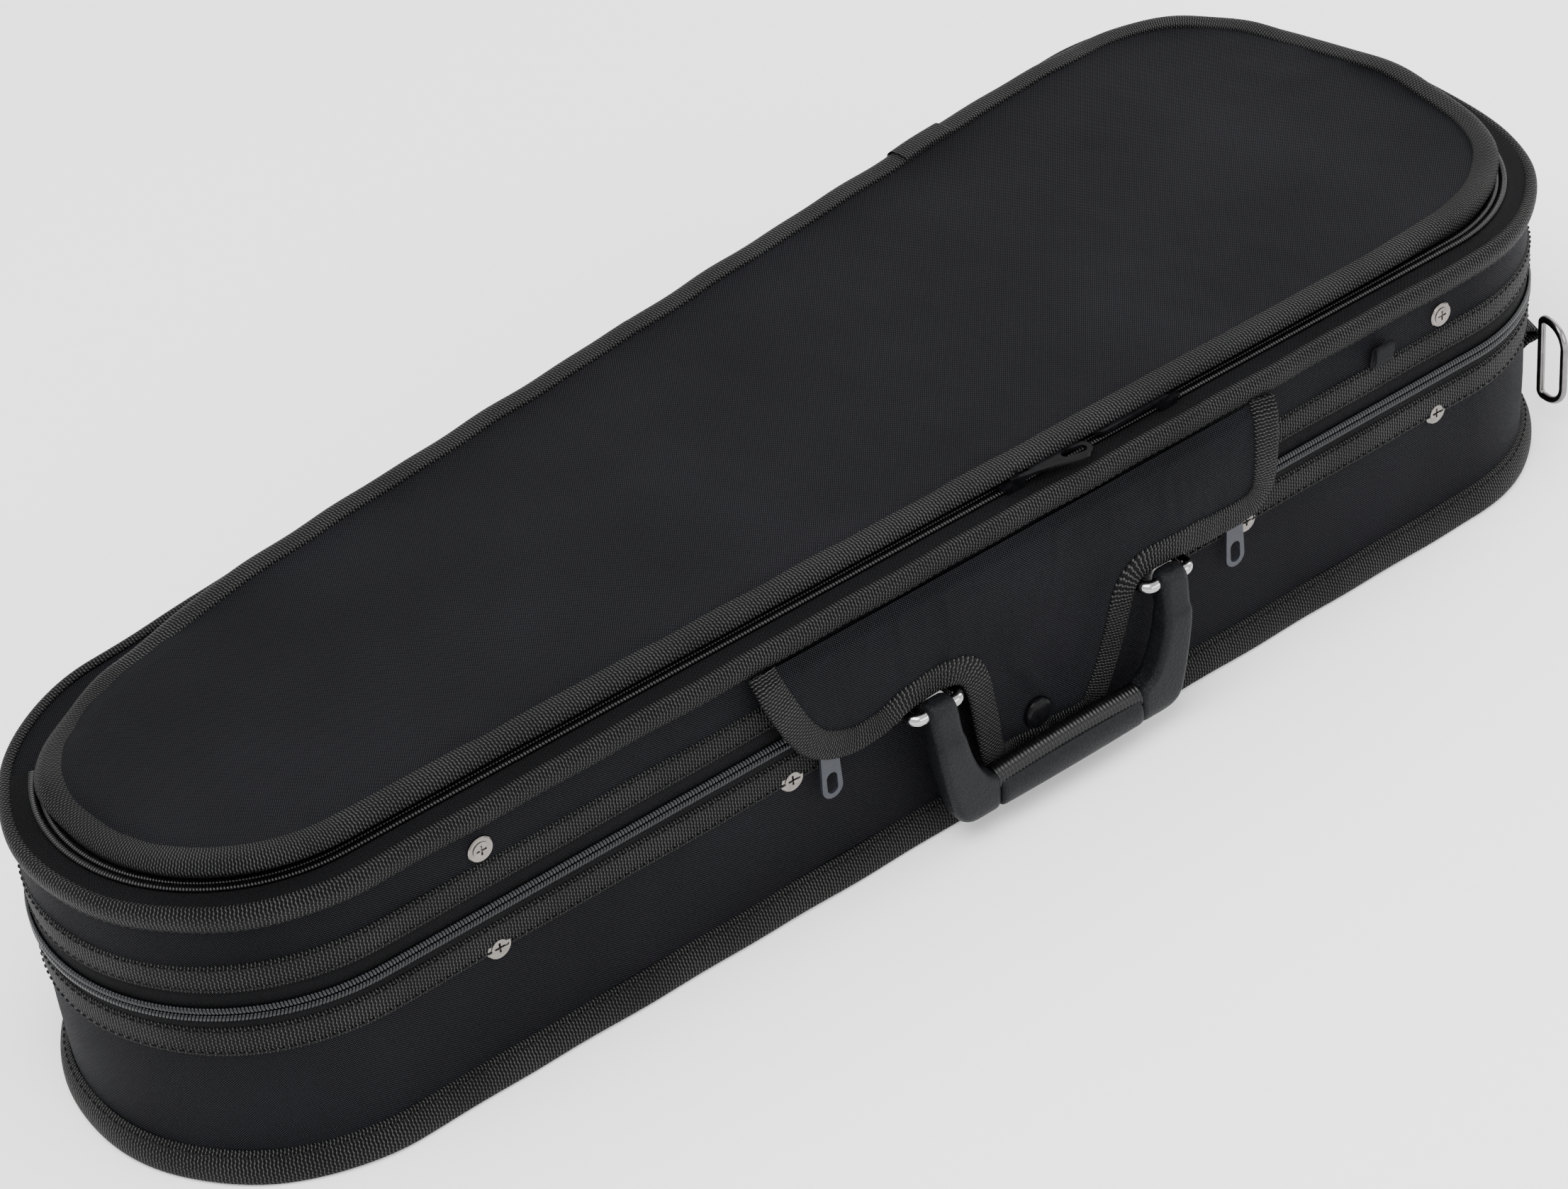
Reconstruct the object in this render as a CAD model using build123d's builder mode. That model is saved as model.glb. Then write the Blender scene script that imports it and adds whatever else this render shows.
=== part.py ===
from build123d import *
from math import acos, atan2, cos, degrees, hypot, radians, sin
import os

# Soft-covered violin case for a quarter-size violin, tapered, with a zipped lid and a zipped music
# pocket on the lid. Millimetres. The origin is the middle of the base on the ground, +X runs to the
# wide end, -Y to the handle side and +Z up.

os.makedirs("parts", exist_ok=True)

# --- driving dimensions -------------------------------------------------------------------------
case_length = 640.0
narrow_radius = 75.6         # the round narrow end
wide_corner_radius = 70.0    # the two corners of the wide end
wide_corner_x = 245.6
wide_corner_y = 39.3

skin = 1.2                   # woven cover, also the plush lining
shell_wall = 5.0
shell_floor = 4.0
base_lift = 0.6              # the binding round the base stands this far below the cover
rim_gap = 1.5                # between the two shells' rims
zip_z = 75.95                # the line where the main zip's two halves meet
lid_top_z = 118.7            # top of the lid's cover, below the pocket
case_rim_z = zip_z - rim_gap / 2
lid_rim_z = zip_z + rim_gap / 2

base_binding_z = 13.0        # top edge of the tape that binds the base
base_binding_out = 4.2
binding_round = 1.5
tape_out = 1.4               # ribbed tapes above and below the main zip
lower_tape_z = (56.8, 69.0)
upper_tape_z = (84.5, 95.5)
lid_binding_z = (110.8, 120.5)
lid_binding_out = 3.2
lid_binding_in = 0.4

coil = 2.5                   # one half of a zip coil, across the zip
coil_gap = 0.2               # each half's distance from the zip's middle line
coil_out = 2.4
zip_cloth = 0.7
zip_end = 3.0                # where the zips stop, in front of the back wall

panel_inset = 15.0           # edge of the pocket's top panel
panel_binding = 10.0         # width of the tape on that edge
panel_z = (123.2, 127.6)
pocket_coil_inset = 10.2
pocket_coil_z = (119.5, 121.9)
pocket_zip_end = 24.0

handle_s = 275.9             # middle of the handle along the front wall
staple_half = 53.5           # from there to each staple
staple_legs = 20.4
staple_r = 2.4
handle_axis_z = 62.8
handle_axis_out = 11.0
handle_back = 8.2            # the grip's distance from the wall
handle_thick = 10.2
handle_drop = 53.5           # from the axis to the bottom of the grip
arm_width = 12.6
grip_height = 17.0
grip_half = 51.5             # half the grip's outer length

screw_head_r = 3.2
screw_shank_r = 1.6
cup_r = 4.9
screw_depth = 5.2
case_screws_s = (42.8, 165.4, 375.8, 472.4)
lid_screws_s = (42.2, 474.6)
case_screw_z = 58.4
lid_screw_z = 101.3

main_sliders_s = {"left": 179.1, "right": 366.7}
pocket_sliders_s = {"left": 276.3, "right": 346.9}
snap_s = 270.4
snap_z = 31.3
tag_s = 442.6

# --- plan outline -------------------------------------------------------------------------------
narrow_x = -case_length / 2 + narrow_radius
corner_to_end = wide_corner_x - case_length / 2
wide_end_radius = (wide_corner_radius**2 - corner_to_end**2 - wide_corner_y**2) / (
    2 * (corner_to_end + wide_corner_radius)
)
wide_end_x = case_length / 2 - wide_end_radius
centres_x = wide_corner_x - narrow_x
side_normal = degrees(
    atan2(wide_corner_y, centres_x)
    + acos((narrow_radius - wide_corner_radius) / hypot(centres_x, wide_corner_y))
)
side_tilt = side_normal - 90
corner_start = degrees(atan2(wide_corner_y, wide_corner_x - wide_end_x))


def on_circle(x, y, radius, angle):
    """The point of a circle about (x, y) at an angle in degrees."""
    return x + radius * cos(radians(angle)), y + radius * sin(radians(angle))


def outline(grow=0.0, mode=Mode.ADD):
    """The case's plan outline, grown outwards by `grow`, as a face of the sketch in progress."""
    narrow_r = narrow_radius + grow
    corner_r = wide_corner_radius + grow
    corner_sweep = side_normal - corner_start
    with BuildLine() as edge:
        CenterArc((narrow_x, 0), narrow_r, side_normal, 360 - 2 * side_normal)
        Line(
            on_circle(narrow_x, 0, narrow_r, -side_normal),
            on_circle(wide_corner_x, -wide_corner_y, corner_r, -side_normal),
        )
        CenterArc((wide_corner_x, -wide_corner_y), corner_r, -side_normal, corner_sweep)
        CenterArc((wide_end_x, 0), wide_end_radius + grow, -corner_start, 2 * corner_start)
        CenterArc((wide_corner_x, wide_corner_y), corner_r, corner_start, corner_sweep)
        Line(
            on_circle(wide_corner_x, wide_corner_y, corner_r, side_normal),
            on_circle(narrow_x, 0, narrow_r, side_normal),
        )
    make_face(edge.edges(), mode=mode)


# The front wall's plane: local x runs along the wall from where the narrow end's arc stops, local y
# is up and z is out of the wall. The back wall's plane starts at the wide end.
front_start = on_circle(narrow_x, 0, narrow_radius, -side_normal)
back_start = on_circle(wide_corner_x, wide_corner_y, wide_corner_radius, side_normal)
tilt_cos, tilt_sin = cos(radians(side_tilt)), sin(radians(side_tilt))
front_wall = Plane(
    origin=(*front_start, 0), x_dir=(tilt_cos, -tilt_sin, 0), z_dir=(-tilt_sin, -tilt_cos, 0)
)
back_wall = Plane(
    origin=(*back_start, 0), x_dir=(-tilt_cos, -tilt_sin, 0), z_dir=(-tilt_sin, tilt_cos, 0)
)
wall_length = hypot(
    on_circle(wide_corner_x, -wide_corner_y, wide_corner_radius, -side_normal)[0] - front_start[0],
    on_circle(wide_corner_x, -wide_corner_y, wide_corner_radius, -side_normal)[1] - front_start[1],
)


def wall_plane(along):
    """The front wall's plane with its local x measured from `along`."""
    at = front_wall.from_local_coords(Vector(along, 0, 0))
    return Plane(origin=at, x_dir=front_wall.x_dir, z_dir=front_wall.z_dir)


def front_section(along):
    """A plane across the front wall: local x is out of the wall, local y up."""
    at = front_wall.from_local_coords(Vector(along, 0, 0))
    return Plane(origin=at, x_dir=front_wall.z_dir, z_dir=front_wall.x_dir * -1)


def front_shelf(height):
    """A level plane on the front wall: local x along the wall, local y into the case."""
    at = front_wall.from_local_coords(Vector(0, height, 0))
    return Plane(origin=at, x_dir=front_wall.x_dir, z_dir=(0, 0, 1))


def save(piece, name):
    """Label a finished piece and write its STEP file."""
    piece.part.label = name
    export_step(piece.part, f"parts/{name}.step")


def ring(low, high, outer, inner):
    """A band round the case, added to the part in progress."""
    with BuildSketch(Plane.XY.offset(low)) as band:
        outline(outer)
        outline(inner, mode=Mode.SUBTRACT)
    extrude(band.sketch, amount=high - low)


def slab(low, high, grow, mode=Mode.ADD):
    """A full plate of the case's outline, added to or cut from the part in progress."""
    with BuildSketch(Plane.XY.offset(low)) as plate:
        outline(grow)
    extrude(plate.sketch, amount=high - low, mode=mode)


def cut_behind(inset):
    """Cut the part in progress away behind a plane `inset` in front of the back wall."""
    with BuildSketch(back_wall.offset(-inset)) as face:
        Rectangle(3 * case_length, case_length)
    extrude(face.sketch, amount=case_length, mode=Mode.SUBTRACT)


def wall_points(along, height):
    """Matching points on the front wall and the back wall, in each wall's own plane."""
    front = [(s, height) for s in along]
    back = [(wall_length - s, height) for s in along]
    return ((front_wall, front), (back_wall, back))


def wall_discs(walls, radius, start, amount, mode=Mode.ADD):
    """Discs on points of the walls, from `start` outside the wall by `amount`."""
    for plane, points in walls:
        with BuildSketch(plane.offset(start)) as discs:
            with Locations(*points):
                Circle(radius)
        extrude(discs.sketch, amount=amount, mode=mode)


case_screw_walls = wall_points(case_screws_s, case_screw_z)
lid_screw_walls = wall_points(lid_screws_s, lid_screw_z)
staple_s = (handle_s - staple_half, handle_s + staple_half)
leg_s = [s + side * staple_legs / 2 for s in staple_s for side in (-1, 1)]
leg_points = ((front_wall, [(s, handle_axis_z) for s in leg_s]),)
shell_out = -skin
shell_in = shell_out - shell_wall
room_in = shell_in - skin

# --- bottom half --------------------------------------------------------------------------------
cover_top_z = base_lift + skin
floor_top_z = cover_top_z + shell_floor
with BuildPart() as case_shell:
    slab(cover_top_z, case_rim_z, shell_out)
    slab(floor_top_z, case_rim_z, shell_in, mode=Mode.SUBTRACT)
    wall_discs(case_screw_walls, screw_shank_r, -skin, -shell_wall, mode=Mode.SUBTRACT)
    wall_discs(leg_points, staple_r, -skin, -shell_wall, mode=Mode.SUBTRACT)
save(case_shell, "case_shell")

with BuildPart() as case_cover:
    slab(base_lift, case_rim_z, 0)
    slab(cover_top_z, case_rim_z, shell_out, mode=Mode.SUBTRACT)
    wall_discs(case_screw_walls, screw_shank_r, 0, -skin, mode=Mode.SUBTRACT)
    wall_discs(leg_points, staple_r, 0, -skin, mode=Mode.SUBTRACT)
save(case_cover, "case_cover")

with BuildPart() as base_binding:
    ring(0, base_binding_z - binding_round, base_binding_out, 0)
    ring(base_binding_z - binding_round, base_binding_z, base_binding_out - binding_round, 0)
save(base_binding, "base_binding")

with BuildPart() as lower_tape:
    ring(*lower_tape_z, tape_out, 0)
    wall_discs(case_screw_walls, cup_r, 0, tape_out, mode=Mode.SUBTRACT)
    wall_discs(leg_points, staple_r, 0, tape_out, mode=Mode.SUBTRACT)
save(lower_tape, "lower_tape")

with BuildPart() as main_zip_lower:
    ring(lower_tape_z[1], case_rim_z, zip_cloth, 0)
    ring(zip_z - coil_gap - coil, zip_z - coil_gap, coil_out, zip_cloth)
    cut_behind(zip_end)
save(main_zip_lower, "main_zip_lower")

with BuildPart() as case_lining:
    slab(floor_top_z, case_rim_z, shell_in)
    slab(floor_top_z + skin, case_rim_z, room_in, mode=Mode.SUBTRACT)
save(case_lining, "case_lining")

# Violin bed: a foam insert with the violin's outline let into it.
bed_floor_z = floor_top_z + skin
bed_top_z = 48.0
bed_start_x = -196.0
body_floor_z = 14.0
lower_bout = (205.0, 88.0)
upper_bout = (80.0, 71.0)
neck_half = 28.0
well_x = (-188.0, -22.0)
well_y = 34.0
board = 4.0
wells_in = room_in - board

with BuildPart() as violin_bed:
    slab(bed_floor_z, bed_top_z, room_in)
    with BuildSketch(Plane.XY.offset(bed_floor_z)) as beyond_scroll:
        with Locations((bed_start_x - case_length / 2, 0)):
            Rectangle(case_length, case_length)
    extrude(beyond_scroll.sketch, amount=case_length, mode=Mode.SUBTRACT)
    with BuildSketch(Plane.XY.offset(body_floor_z)) as violin_shape:
        for centre_x, radius in (lower_bout, upper_bout):
            with Locations((centre_x, 0)):
                Circle(radius)
        with Locations(((bed_start_x + upper_bout[0]) / 2 - board, 0)):
            Rectangle(upper_bout[0] - bed_start_x + 2 * board, 2 * neck_half)
    extrude(violin_shape.sketch, amount=case_length, mode=Mode.SUBTRACT)
    with BuildSketch(Plane.XY.offset(body_floor_z)) as side_wells:
        outline(wells_in)
        with Locations(((well_x[0] + well_x[1]) / 2, 0)):
            Rectangle(well_x[1] - well_x[0], case_length, mode=Mode.INTERSECT)
        Rectangle(case_length, 2 * well_y, mode=Mode.SUBTRACT)
    extrude(side_wells.sketch, amount=case_length, mode=Mode.SUBTRACT)
save(violin_bed, "violin_bed")

cradle_x = (-72.0, -48.0)
cradle_top_z = 46.0
cradle_notch_r = 15.0
with BuildPart() as neck_cradle:
    with BuildSketch(Plane.YZ.offset(cradle_x[0])) as cradle_face:
        with Locations((0, (body_floor_z + cradle_top_z) / 2)):
            Rectangle(2 * neck_half, cradle_top_z - body_floor_z)
        with Locations((0, cradle_top_z)):
            Circle(cradle_notch_r, mode=Mode.SUBTRACT)
    extrude(cradle_face.sketch, amount=cradle_x[1] - cradle_x[0])
save(neck_cradle, "neck_cradle")

# The hook-and-loop neck strap crosses over the cradle and is sewn to the bed on both sides.
strap_x = -60.0
strap_width = 20.0
strap = 1.6
strap_rise = 9.0
with BuildPart() as neck_strap:
    with BuildSketch(Plane.YZ.offset(strap_x - strap_width / 2)) as strap_face:
        with BuildLine():
            outer = FilletPolyline(
                (neck_half, bed_top_z),
                (neck_half - strap_rise, bed_top_z + strap_rise),
                (strap_rise - neck_half, bed_top_z + strap_rise),
                (-neck_half, bed_top_z),
                radius=5,
            )
            offset(outer, amount=strap, side=Side.RIGHT)
        make_face()
    extrude(strap_face.sketch, amount=strap_width)
save(neck_strap, "neck_strap")

# Accessory compartment beside the neck, on the back side: its wall and its hinged lid.
wall_top_z = 60.0
lid_board = 3.2
hinge_clear = 0.3
with BuildPart() as accessory_wall:
    with BuildSketch(Plane.XY.offset(bed_top_z)) as wall_face:
        outline(room_in)
        outline(wells_in, mode=Mode.SUBTRACT)
        with Locations(((well_x[0] + well_x[1]) / 2, 0)):
            Rectangle(well_x[1] - well_x[0] + 2 * board, case_length, mode=Mode.INTERSECT)
        with Locations(((well_x[0] + well_x[1]) / 2, well_y - board / 2)):
            Rectangle(well_x[1] - well_x[0] + 2 * board, board)
        for x in (well_x[0] - board / 2, well_x[1] + board / 2):
            with Locations((x, well_y - board)):
                Rectangle(board, 2 * board + case_length / 8, align=(Align.CENTER, Align.MIN))
        outline(room_in, mode=Mode.INTERSECT)
        with Locations((0, -case_length / 2 + well_y - board)):
            Rectangle(case_length, case_length, mode=Mode.SUBTRACT)
    extrude(wall_face.sketch, amount=wall_top_z - bed_top_z)
save(accessory_wall, "accessory_wall")

with BuildPart() as accessory_lid:
    with BuildSketch(Plane.XY.offset(wall_top_z + hinge_clear)) as lid_face:
        outline(room_in - 1.0)
        with Locations(((well_x[0] + well_x[1]) / 2, 0)):
            Rectangle(well_x[1] - well_x[0] + board, case_length, mode=Mode.INTERSECT)
        with Locations((0, -case_length / 2 + well_y - board)):
            Rectangle(case_length, case_length, mode=Mode.SUBTRACT)
    extrude(lid_face.sketch, amount=lid_board)
save(accessory_lid, "accessory_lid")

tab_length, tab_width = 24.0, 12.0
tab_x = (well_x[0] + well_x[1]) / 2
tab_y = well_y + 24.0
lid_surface_z = wall_top_z + hinge_clear + lid_board
with BuildPart() as accessory_tab:
    with BuildSketch(Plane.XY.offset(lid_surface_z)) as tab_face:
        with Locations((tab_x, tab_y - tab_length / 2)):
            Rectangle(tab_width, tab_length)
        fillet(tab_face.vertices(), 3)
    extrude(tab_face.sketch, amount=skin)
save(accessory_tab, "accessory_tab")


# --- screws and cup washers ---------------------------------------------------------------------
def screws(name, walls, seat):
    """Oval-headed cross-slot screws and their cup washers, standing on a face `seat` out."""
    with BuildPart() as cups:
        wall_discs(walls, cup_r, seat, 1.2)
        chamfer(cups.faces().filter_by(GeomType.PLANE).edges().filter_by(GeomType.CIRCLE), 0.4)
        wall_discs(walls, screw_head_r, seat, 2.0, mode=Mode.SUBTRACT)
    save(cups, f"{name}_cups")
    with BuildPart() as fixings:
        wall_discs(walls, screw_head_r, seat, 1.5)
        wall_discs(walls, screw_shank_r, seat, -screw_depth - seat)
        for plane, points in walls:
            with BuildSketch(plane.offset(seat + 0.9)) as slots:
                with Locations(*points):
                    Rectangle(4.0, 0.8)
                    Rectangle(0.8, 4.0)
            extrude(slots.sketch, amount=2, mode=Mode.SUBTRACT)
    save(fixings, f"{name}_screws")


screws("case", case_screw_walls, 0)
screws("lid", lid_screw_walls, 0)

# --- handle -------------------------------------------------------------------------------------
with BuildPart() as handle_staples:
    for s in staple_s:
        half = staple_legs / 2
        rod_plane = front_shelf(handle_axis_z)
        with BuildLine(rod_plane) as rod:
            FilletPolyline(
                (s - half, screw_depth),
                (s - half, -handle_axis_out),
                (s + half, -handle_axis_out),
                (s + half, screw_depth),
                radius=3.2,
            )
        with BuildSketch(Plane(rod.line @ 0, z_dir=rod.line % 0)) as rod_face:
            Circle(staple_r)
        sweep(rod_face.sketch, path=rod.line)
save(handle_staples, "handle_staples")

plate_out = tape_out + 1.2
with BuildPart() as staple_plates:
    with BuildSketch(front_wall.offset(tape_out)) as plates:
        with Locations(*[(s, handle_axis_z) for s in staple_s]):
            RectangleRounded(staple_legs + 10, 9.6, 4)
        with Locations(*[(s, handle_axis_z) for s in leg_s]):
            Circle(staple_r, mode=Mode.SUBTRACT)
    extrude(plates.sketch, amount=plate_out - tape_out)
save(staple_plates, "staple_plates")

arm_out = staple_half + arm_width / 2
arm_in = staple_half - arm_width / 2
grip_bottom_z = handle_axis_z - handle_drop
grip_top_z = grip_bottom_z + grip_height
window_half = grip_half - arm_width - 2.5
eye_r = 4.6
eye_bore = staple_r + 0.08
with BuildPart() as handle_body:
    with BuildSketch(wall_plane(handle_s).offset(handle_back)) as handle_face:
        with BuildLine():
            Polyline(
                (-arm_out, handle_axis_z),
                (-grip_half, grip_bottom_z),
                (grip_half, grip_bottom_z),
                (arm_out, handle_axis_z),
                (arm_in, handle_axis_z),
                (window_half, grip_top_z),
                (-window_half, grip_top_z),
                (-arm_in, handle_axis_z),
                close=True,
            )
        make_face()
        fillet(handle_face.vertices().group_by(Axis.Y)[0], 9)
        fillet(handle_face.vertices().filter_by_position(Axis.Y, grip_top_z - 1, grip_top_z + 1), 6)
    extrude(handle_face.sketch, amount=handle_thick)
    for s in staple_s:
        with BuildSketch(front_section(s + arm_width / 2)) as eye:
            with Locations((handle_axis_out, handle_axis_z)):
                Circle(eye_r)
        extrude(eye.sketch, amount=arm_width)
    for s in staple_s:
        with BuildSketch(front_section(s + arm_width)) as bore:
            with Locations((handle_axis_out, handle_axis_z)):
                Circle(eye_bore)
        extrude(bore.sketch, amount=2 * arm_width, mode=Mode.SUBTRACT)
save(handle_body, "handle_body")

# --- lid ----------------------------------------------------------------------------------------
with BuildPart() as lid_shell:
    slab(lid_rim_z, lid_top_z - skin, shell_out)
    slab(lid_rim_z, lid_top_z - skin - shell_floor, shell_in, mode=Mode.SUBTRACT)
    wall_discs(lid_screw_walls, screw_shank_r, -skin, -shell_wall, mode=Mode.SUBTRACT)
save(lid_shell, "lid_shell")

with BuildPart() as lid_cover:
    slab(lid_rim_z, lid_top_z, 0)
    slab(lid_rim_z, lid_top_z - skin, shell_out, mode=Mode.SUBTRACT)
    wall_discs(lid_screw_walls, screw_shank_r, 0, -skin, mode=Mode.SUBTRACT)
save(lid_cover, "lid_cover")

with BuildPart() as lid_binding:
    ring(lid_binding_z[0], lid_top_z, lid_binding_out, 0)
    ring(lid_top_z, lid_binding_z[1], lid_binding_out, -lid_binding_in)
save(lid_binding, "lid_binding")

with BuildPart() as upper_tape:
    ring(*upper_tape_z, tape_out, 0)
save(upper_tape, "upper_tape")

with BuildPart() as main_zip_upper:
    ring(lid_rim_z, upper_tape_z[0], zip_cloth, 0)
    ring(zip_z + coil_gap, zip_z + coil_gap + coil, coil_out, zip_cloth)
    cut_behind(zip_end)
save(main_zip_upper, "main_zip_upper")

ceiling_z = lid_top_z - 2 * skin - shell_floor
with BuildPart() as lid_lining:
    slab(lid_rim_z, ceiling_z + skin, shell_in)
    slab(lid_rim_z, ceiling_z, room_in, mode=Mode.SUBTRACT)
save(lid_lining, "lid_lining")

# A strip of cloth closes the gap behind the rims, where the case hinges.
with BuildPart() as hinge_cloth:
    with BuildSketch(back_wall) as strip:
        with Locations((wall_length / 2, (lower_tape_z[1] + upper_tape_z[0]) / 2)):
            Rectangle(wall_length, upper_tape_z[0] - lower_tape_z[1])
    extrude(strip.sketch, amount=zip_cloth)
save(hinge_cloth, "hinge_cloth")

tag_size = (9.0, 10.0)
with BuildPart() as size_tag:
    with BuildSketch(front_wall) as tag_face:
        with Locations((tag_s, upper_tape_z[1] + tag_size[1] / 2)):
            Rectangle(*tag_size)
    extrude(tag_face.sketch, amount=skin)
save(size_tag, "size_tag")

# Ribbed end cover round the lid binding, on the back edge where the binding's ends meet.
cover_s = 89.0
cover_length = 26.0
with BuildPart() as binding_end_cover:
    with BuildSketch(back_wall.offset(lid_binding_out)) as cover_face:
        with Locations((cover_s, (lid_binding_z[0] + lid_binding_z[1]) / 2)):
            Rectangle(cover_length, lid_binding_z[1] - lid_binding_z[0])
    extrude(cover_face.sketch, amount=skin)
save(binding_end_cover, "binding_end_cover")

# --- music pocket on the lid --------------------------------------------------------------------
cloth_rest = 0.3             # how far loose cloth lies above what it rests on
coil_line = -pocket_coil_inset
panel_edge = -panel_inset
panel_under_z = panel_z[0]
panel_top_z = panel_z[1]
binding_cloth = 1.4

with BuildPart() as pocket_zip_outer:
    ring(lid_top_z, pocket_coil_z[0], -lid_binding_in, coil_line + coil_gap)
    ring(*pocket_coil_z, coil_line + coil_gap + coil, coil_line + coil_gap)
    cut_behind(pocket_zip_end)
save(pocket_zip_outer, "pocket_zip_outer")

with BuildPart() as pocket_zip_inner:
    ring(lid_top_z + cloth_rest, pocket_coil_z[0], coil_line - coil_gap, panel_edge - binding_cloth)
    ring(*pocket_coil_z, coil_line - coil_gap, coil_line - coil_gap - coil)
    cut_behind(pocket_zip_end)
save(pocket_zip_inner, "pocket_zip_inner")

with BuildPart() as panel_edging:
    ring(pocket_coil_z[0], panel_top_z, panel_edge, panel_edge - binding_cloth)
    ring(panel_top_z - binding_cloth, panel_top_z, panel_edge - binding_cloth, panel_edge - panel_binding)
save(panel_edging, "panel_edging")

with BuildPart() as pocket_panel:
    slab(panel_under_z, panel_top_z - binding_cloth, panel_edge - binding_cloth)
save(pocket_panel, "pocket_panel")


# --- zip sliders and pulls ----------------------------------------------------------------------
slider_length = 12.0
slider_half = 4.2
slider_wall = 1.0
slider_clear = 0.25
pull_thick = 1.3
pivot_r = 1.4                # the stud that a main pull turns on
pivot_gap = 0.08
eye_gap = 0.2
crown_long, crown_wide, crown_high = 7.0, 2.4, 3.2
crown_bar = 1.0


def pull_shape(length, eye_width, end_width, slot_length, slot_width):
    """A tapered pull along +X from its pivot at the origin, with a rounded slot at its free end."""
    with BuildSketch() as shape:
        with BuildLine():
            Polyline(
                (0, -eye_width / 2),
                (length - end_width / 2, -end_width / 2),
                (length - end_width / 2, end_width / 2),
                (0, eye_width / 2),
                close=True,
            )
        make_face()
        with Locations((length - end_width / 2, 0)):
            Circle(end_width / 2)
        with Locations((length - slot_length / 2 - 2.0, 0)):
            SlotOverall(slot_length, slot_width, mode=Mode.SUBTRACT)
    return shape.sketch


main_plate_out = coil_out + slider_clear
for side, s in main_sliders_s.items():
    face = wall_plane(s).offset(main_plate_out)
    pivot = face.offset(slider_wall + slider_clear / 2)
    with BuildPart() as main_slider:
        with BuildSketch(face) as plate:
            with Locations((0, zip_z)):
                RectangleRounded(slider_length, 2 * slider_half, 1.8)
        extrude(plate.sketch, amount=slider_wall)
        with BuildSketch(face) as stud:
            with Locations((0, zip_z)):
                Circle(pivot_r)
        extrude(stud.sketch, amount=slider_wall + pull_thick + slider_clear)
    save(main_slider, f"main_slider_{side}")

    hanging = Plane(
        pivot.from_local_coords(Vector(0, zip_z, 0)), x_dir=(0, 0, -1), z_dir=front_wall.z_dir
    )
    with BuildPart() as main_pull:
        with BuildSketch(hanging) as pull_face:
            add(pull_shape(31.0, 7.0, 8.8, 9.0, 4.6))
            Circle(3.5)
            Circle(pivot_r + pivot_gap, mode=Mode.SUBTRACT)
        extrude(pull_face.sketch, amount=pull_thick)
    save(main_pull, f"main_pull_{side}")

pocket_pull_turn = {"left": -12.0, "right": 180.0}
pocket_plate_z = pocket_coil_z[1] + slider_clear
crown_z = pocket_plate_z + slider_wall
for side, s in pocket_sliders_s.items():
    centre = front_shelf(0).from_local_coords(Vector(s, pocket_coil_inset, 0))
    level = Plane(centre, x_dir=front_wall.x_dir)
    turned = level.rotated((0, 0, pocket_pull_turn[side]))
    arch_plane = Plane(centre, x_dir=turned.x_dir, z_dir=turned.y_dir * -1)
    with BuildPart() as pocket_slider:
        with BuildSketch(level.offset(pocket_plate_z)) as plate:
            RectangleRounded(slider_length, 2 * slider_half, 1.8)
        extrude(plate.sketch, amount=slider_wall)
        with BuildSketch(level.offset(pocket_plate_z)) as flanges:
            with Locations((0, slider_half - slider_wall / 2), (0, slider_wall / 2 - slider_half)):
                Rectangle(slider_length - 4, slider_wall)
        extrude(flanges.sketch, amount=-1.8)
        with BuildSketch(arch_plane.offset(-crown_wide / 2)) as arch:
            with Locations((0, crown_z + crown_high / 2)):
                Rectangle(crown_long, crown_high)
            with Locations((0, crown_z + (crown_high - crown_bar) / 2)):
                Rectangle(crown_long - 2 * crown_bar, crown_high - crown_bar, mode=Mode.SUBTRACT)
        extrude(arch.sketch, amount=crown_wide)
    save(pocket_slider, f"pocket_slider_{side}")

    with BuildPart() as pocket_pull:
        with BuildSketch(turned.offset(crown_z + slider_clear)) as pull_face:
            add(pull_shape(33.0, 7.0, 8.4, 10.0, 4.0))
            with Locations((crown_long / 2 + pull_thick / 2, 0)):
                Rectangle(crown_long, crown_wide + 4 * eye_gap, mode=Mode.SUBTRACT)
            with Locations((-pull_thick / 4, 0)):
                Rectangle(pull_thick / 2, 7.0)
        extrude(pull_face.sketch, amount=pull_thick)
    save(pocket_pull, f"pocket_pull_{side}")

# --- flap and snap ------------------------------------------------------------------------------
flap_s = 273.6
flap_top_half = 119.0
flap_low_half = 105.0
flap_thick = 1.8
flap_edge_z = 62.5           # lower edge of the flap's wings
notch = (28.0, 70.5)         # the notches round the staples, measured from the flap's middle
notch_slants = (12.0, 5.0)
notch_top_z = 72.5
tongue_low_half = 24.5
tongue_low_z = 16.0
tongue_round = 9.0
wing_round = 16.0
flap_edging = 9.0            # width of the tape round the flap
edging_out = 0.7
sewn_z = lid_binding_z[0] - 0.5
flap_profile = ((1.3, sewn_z), (6.0, 98.0), (6.0, 64.0), (3.2, 44.0), (3.2, 10.0))


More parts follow.
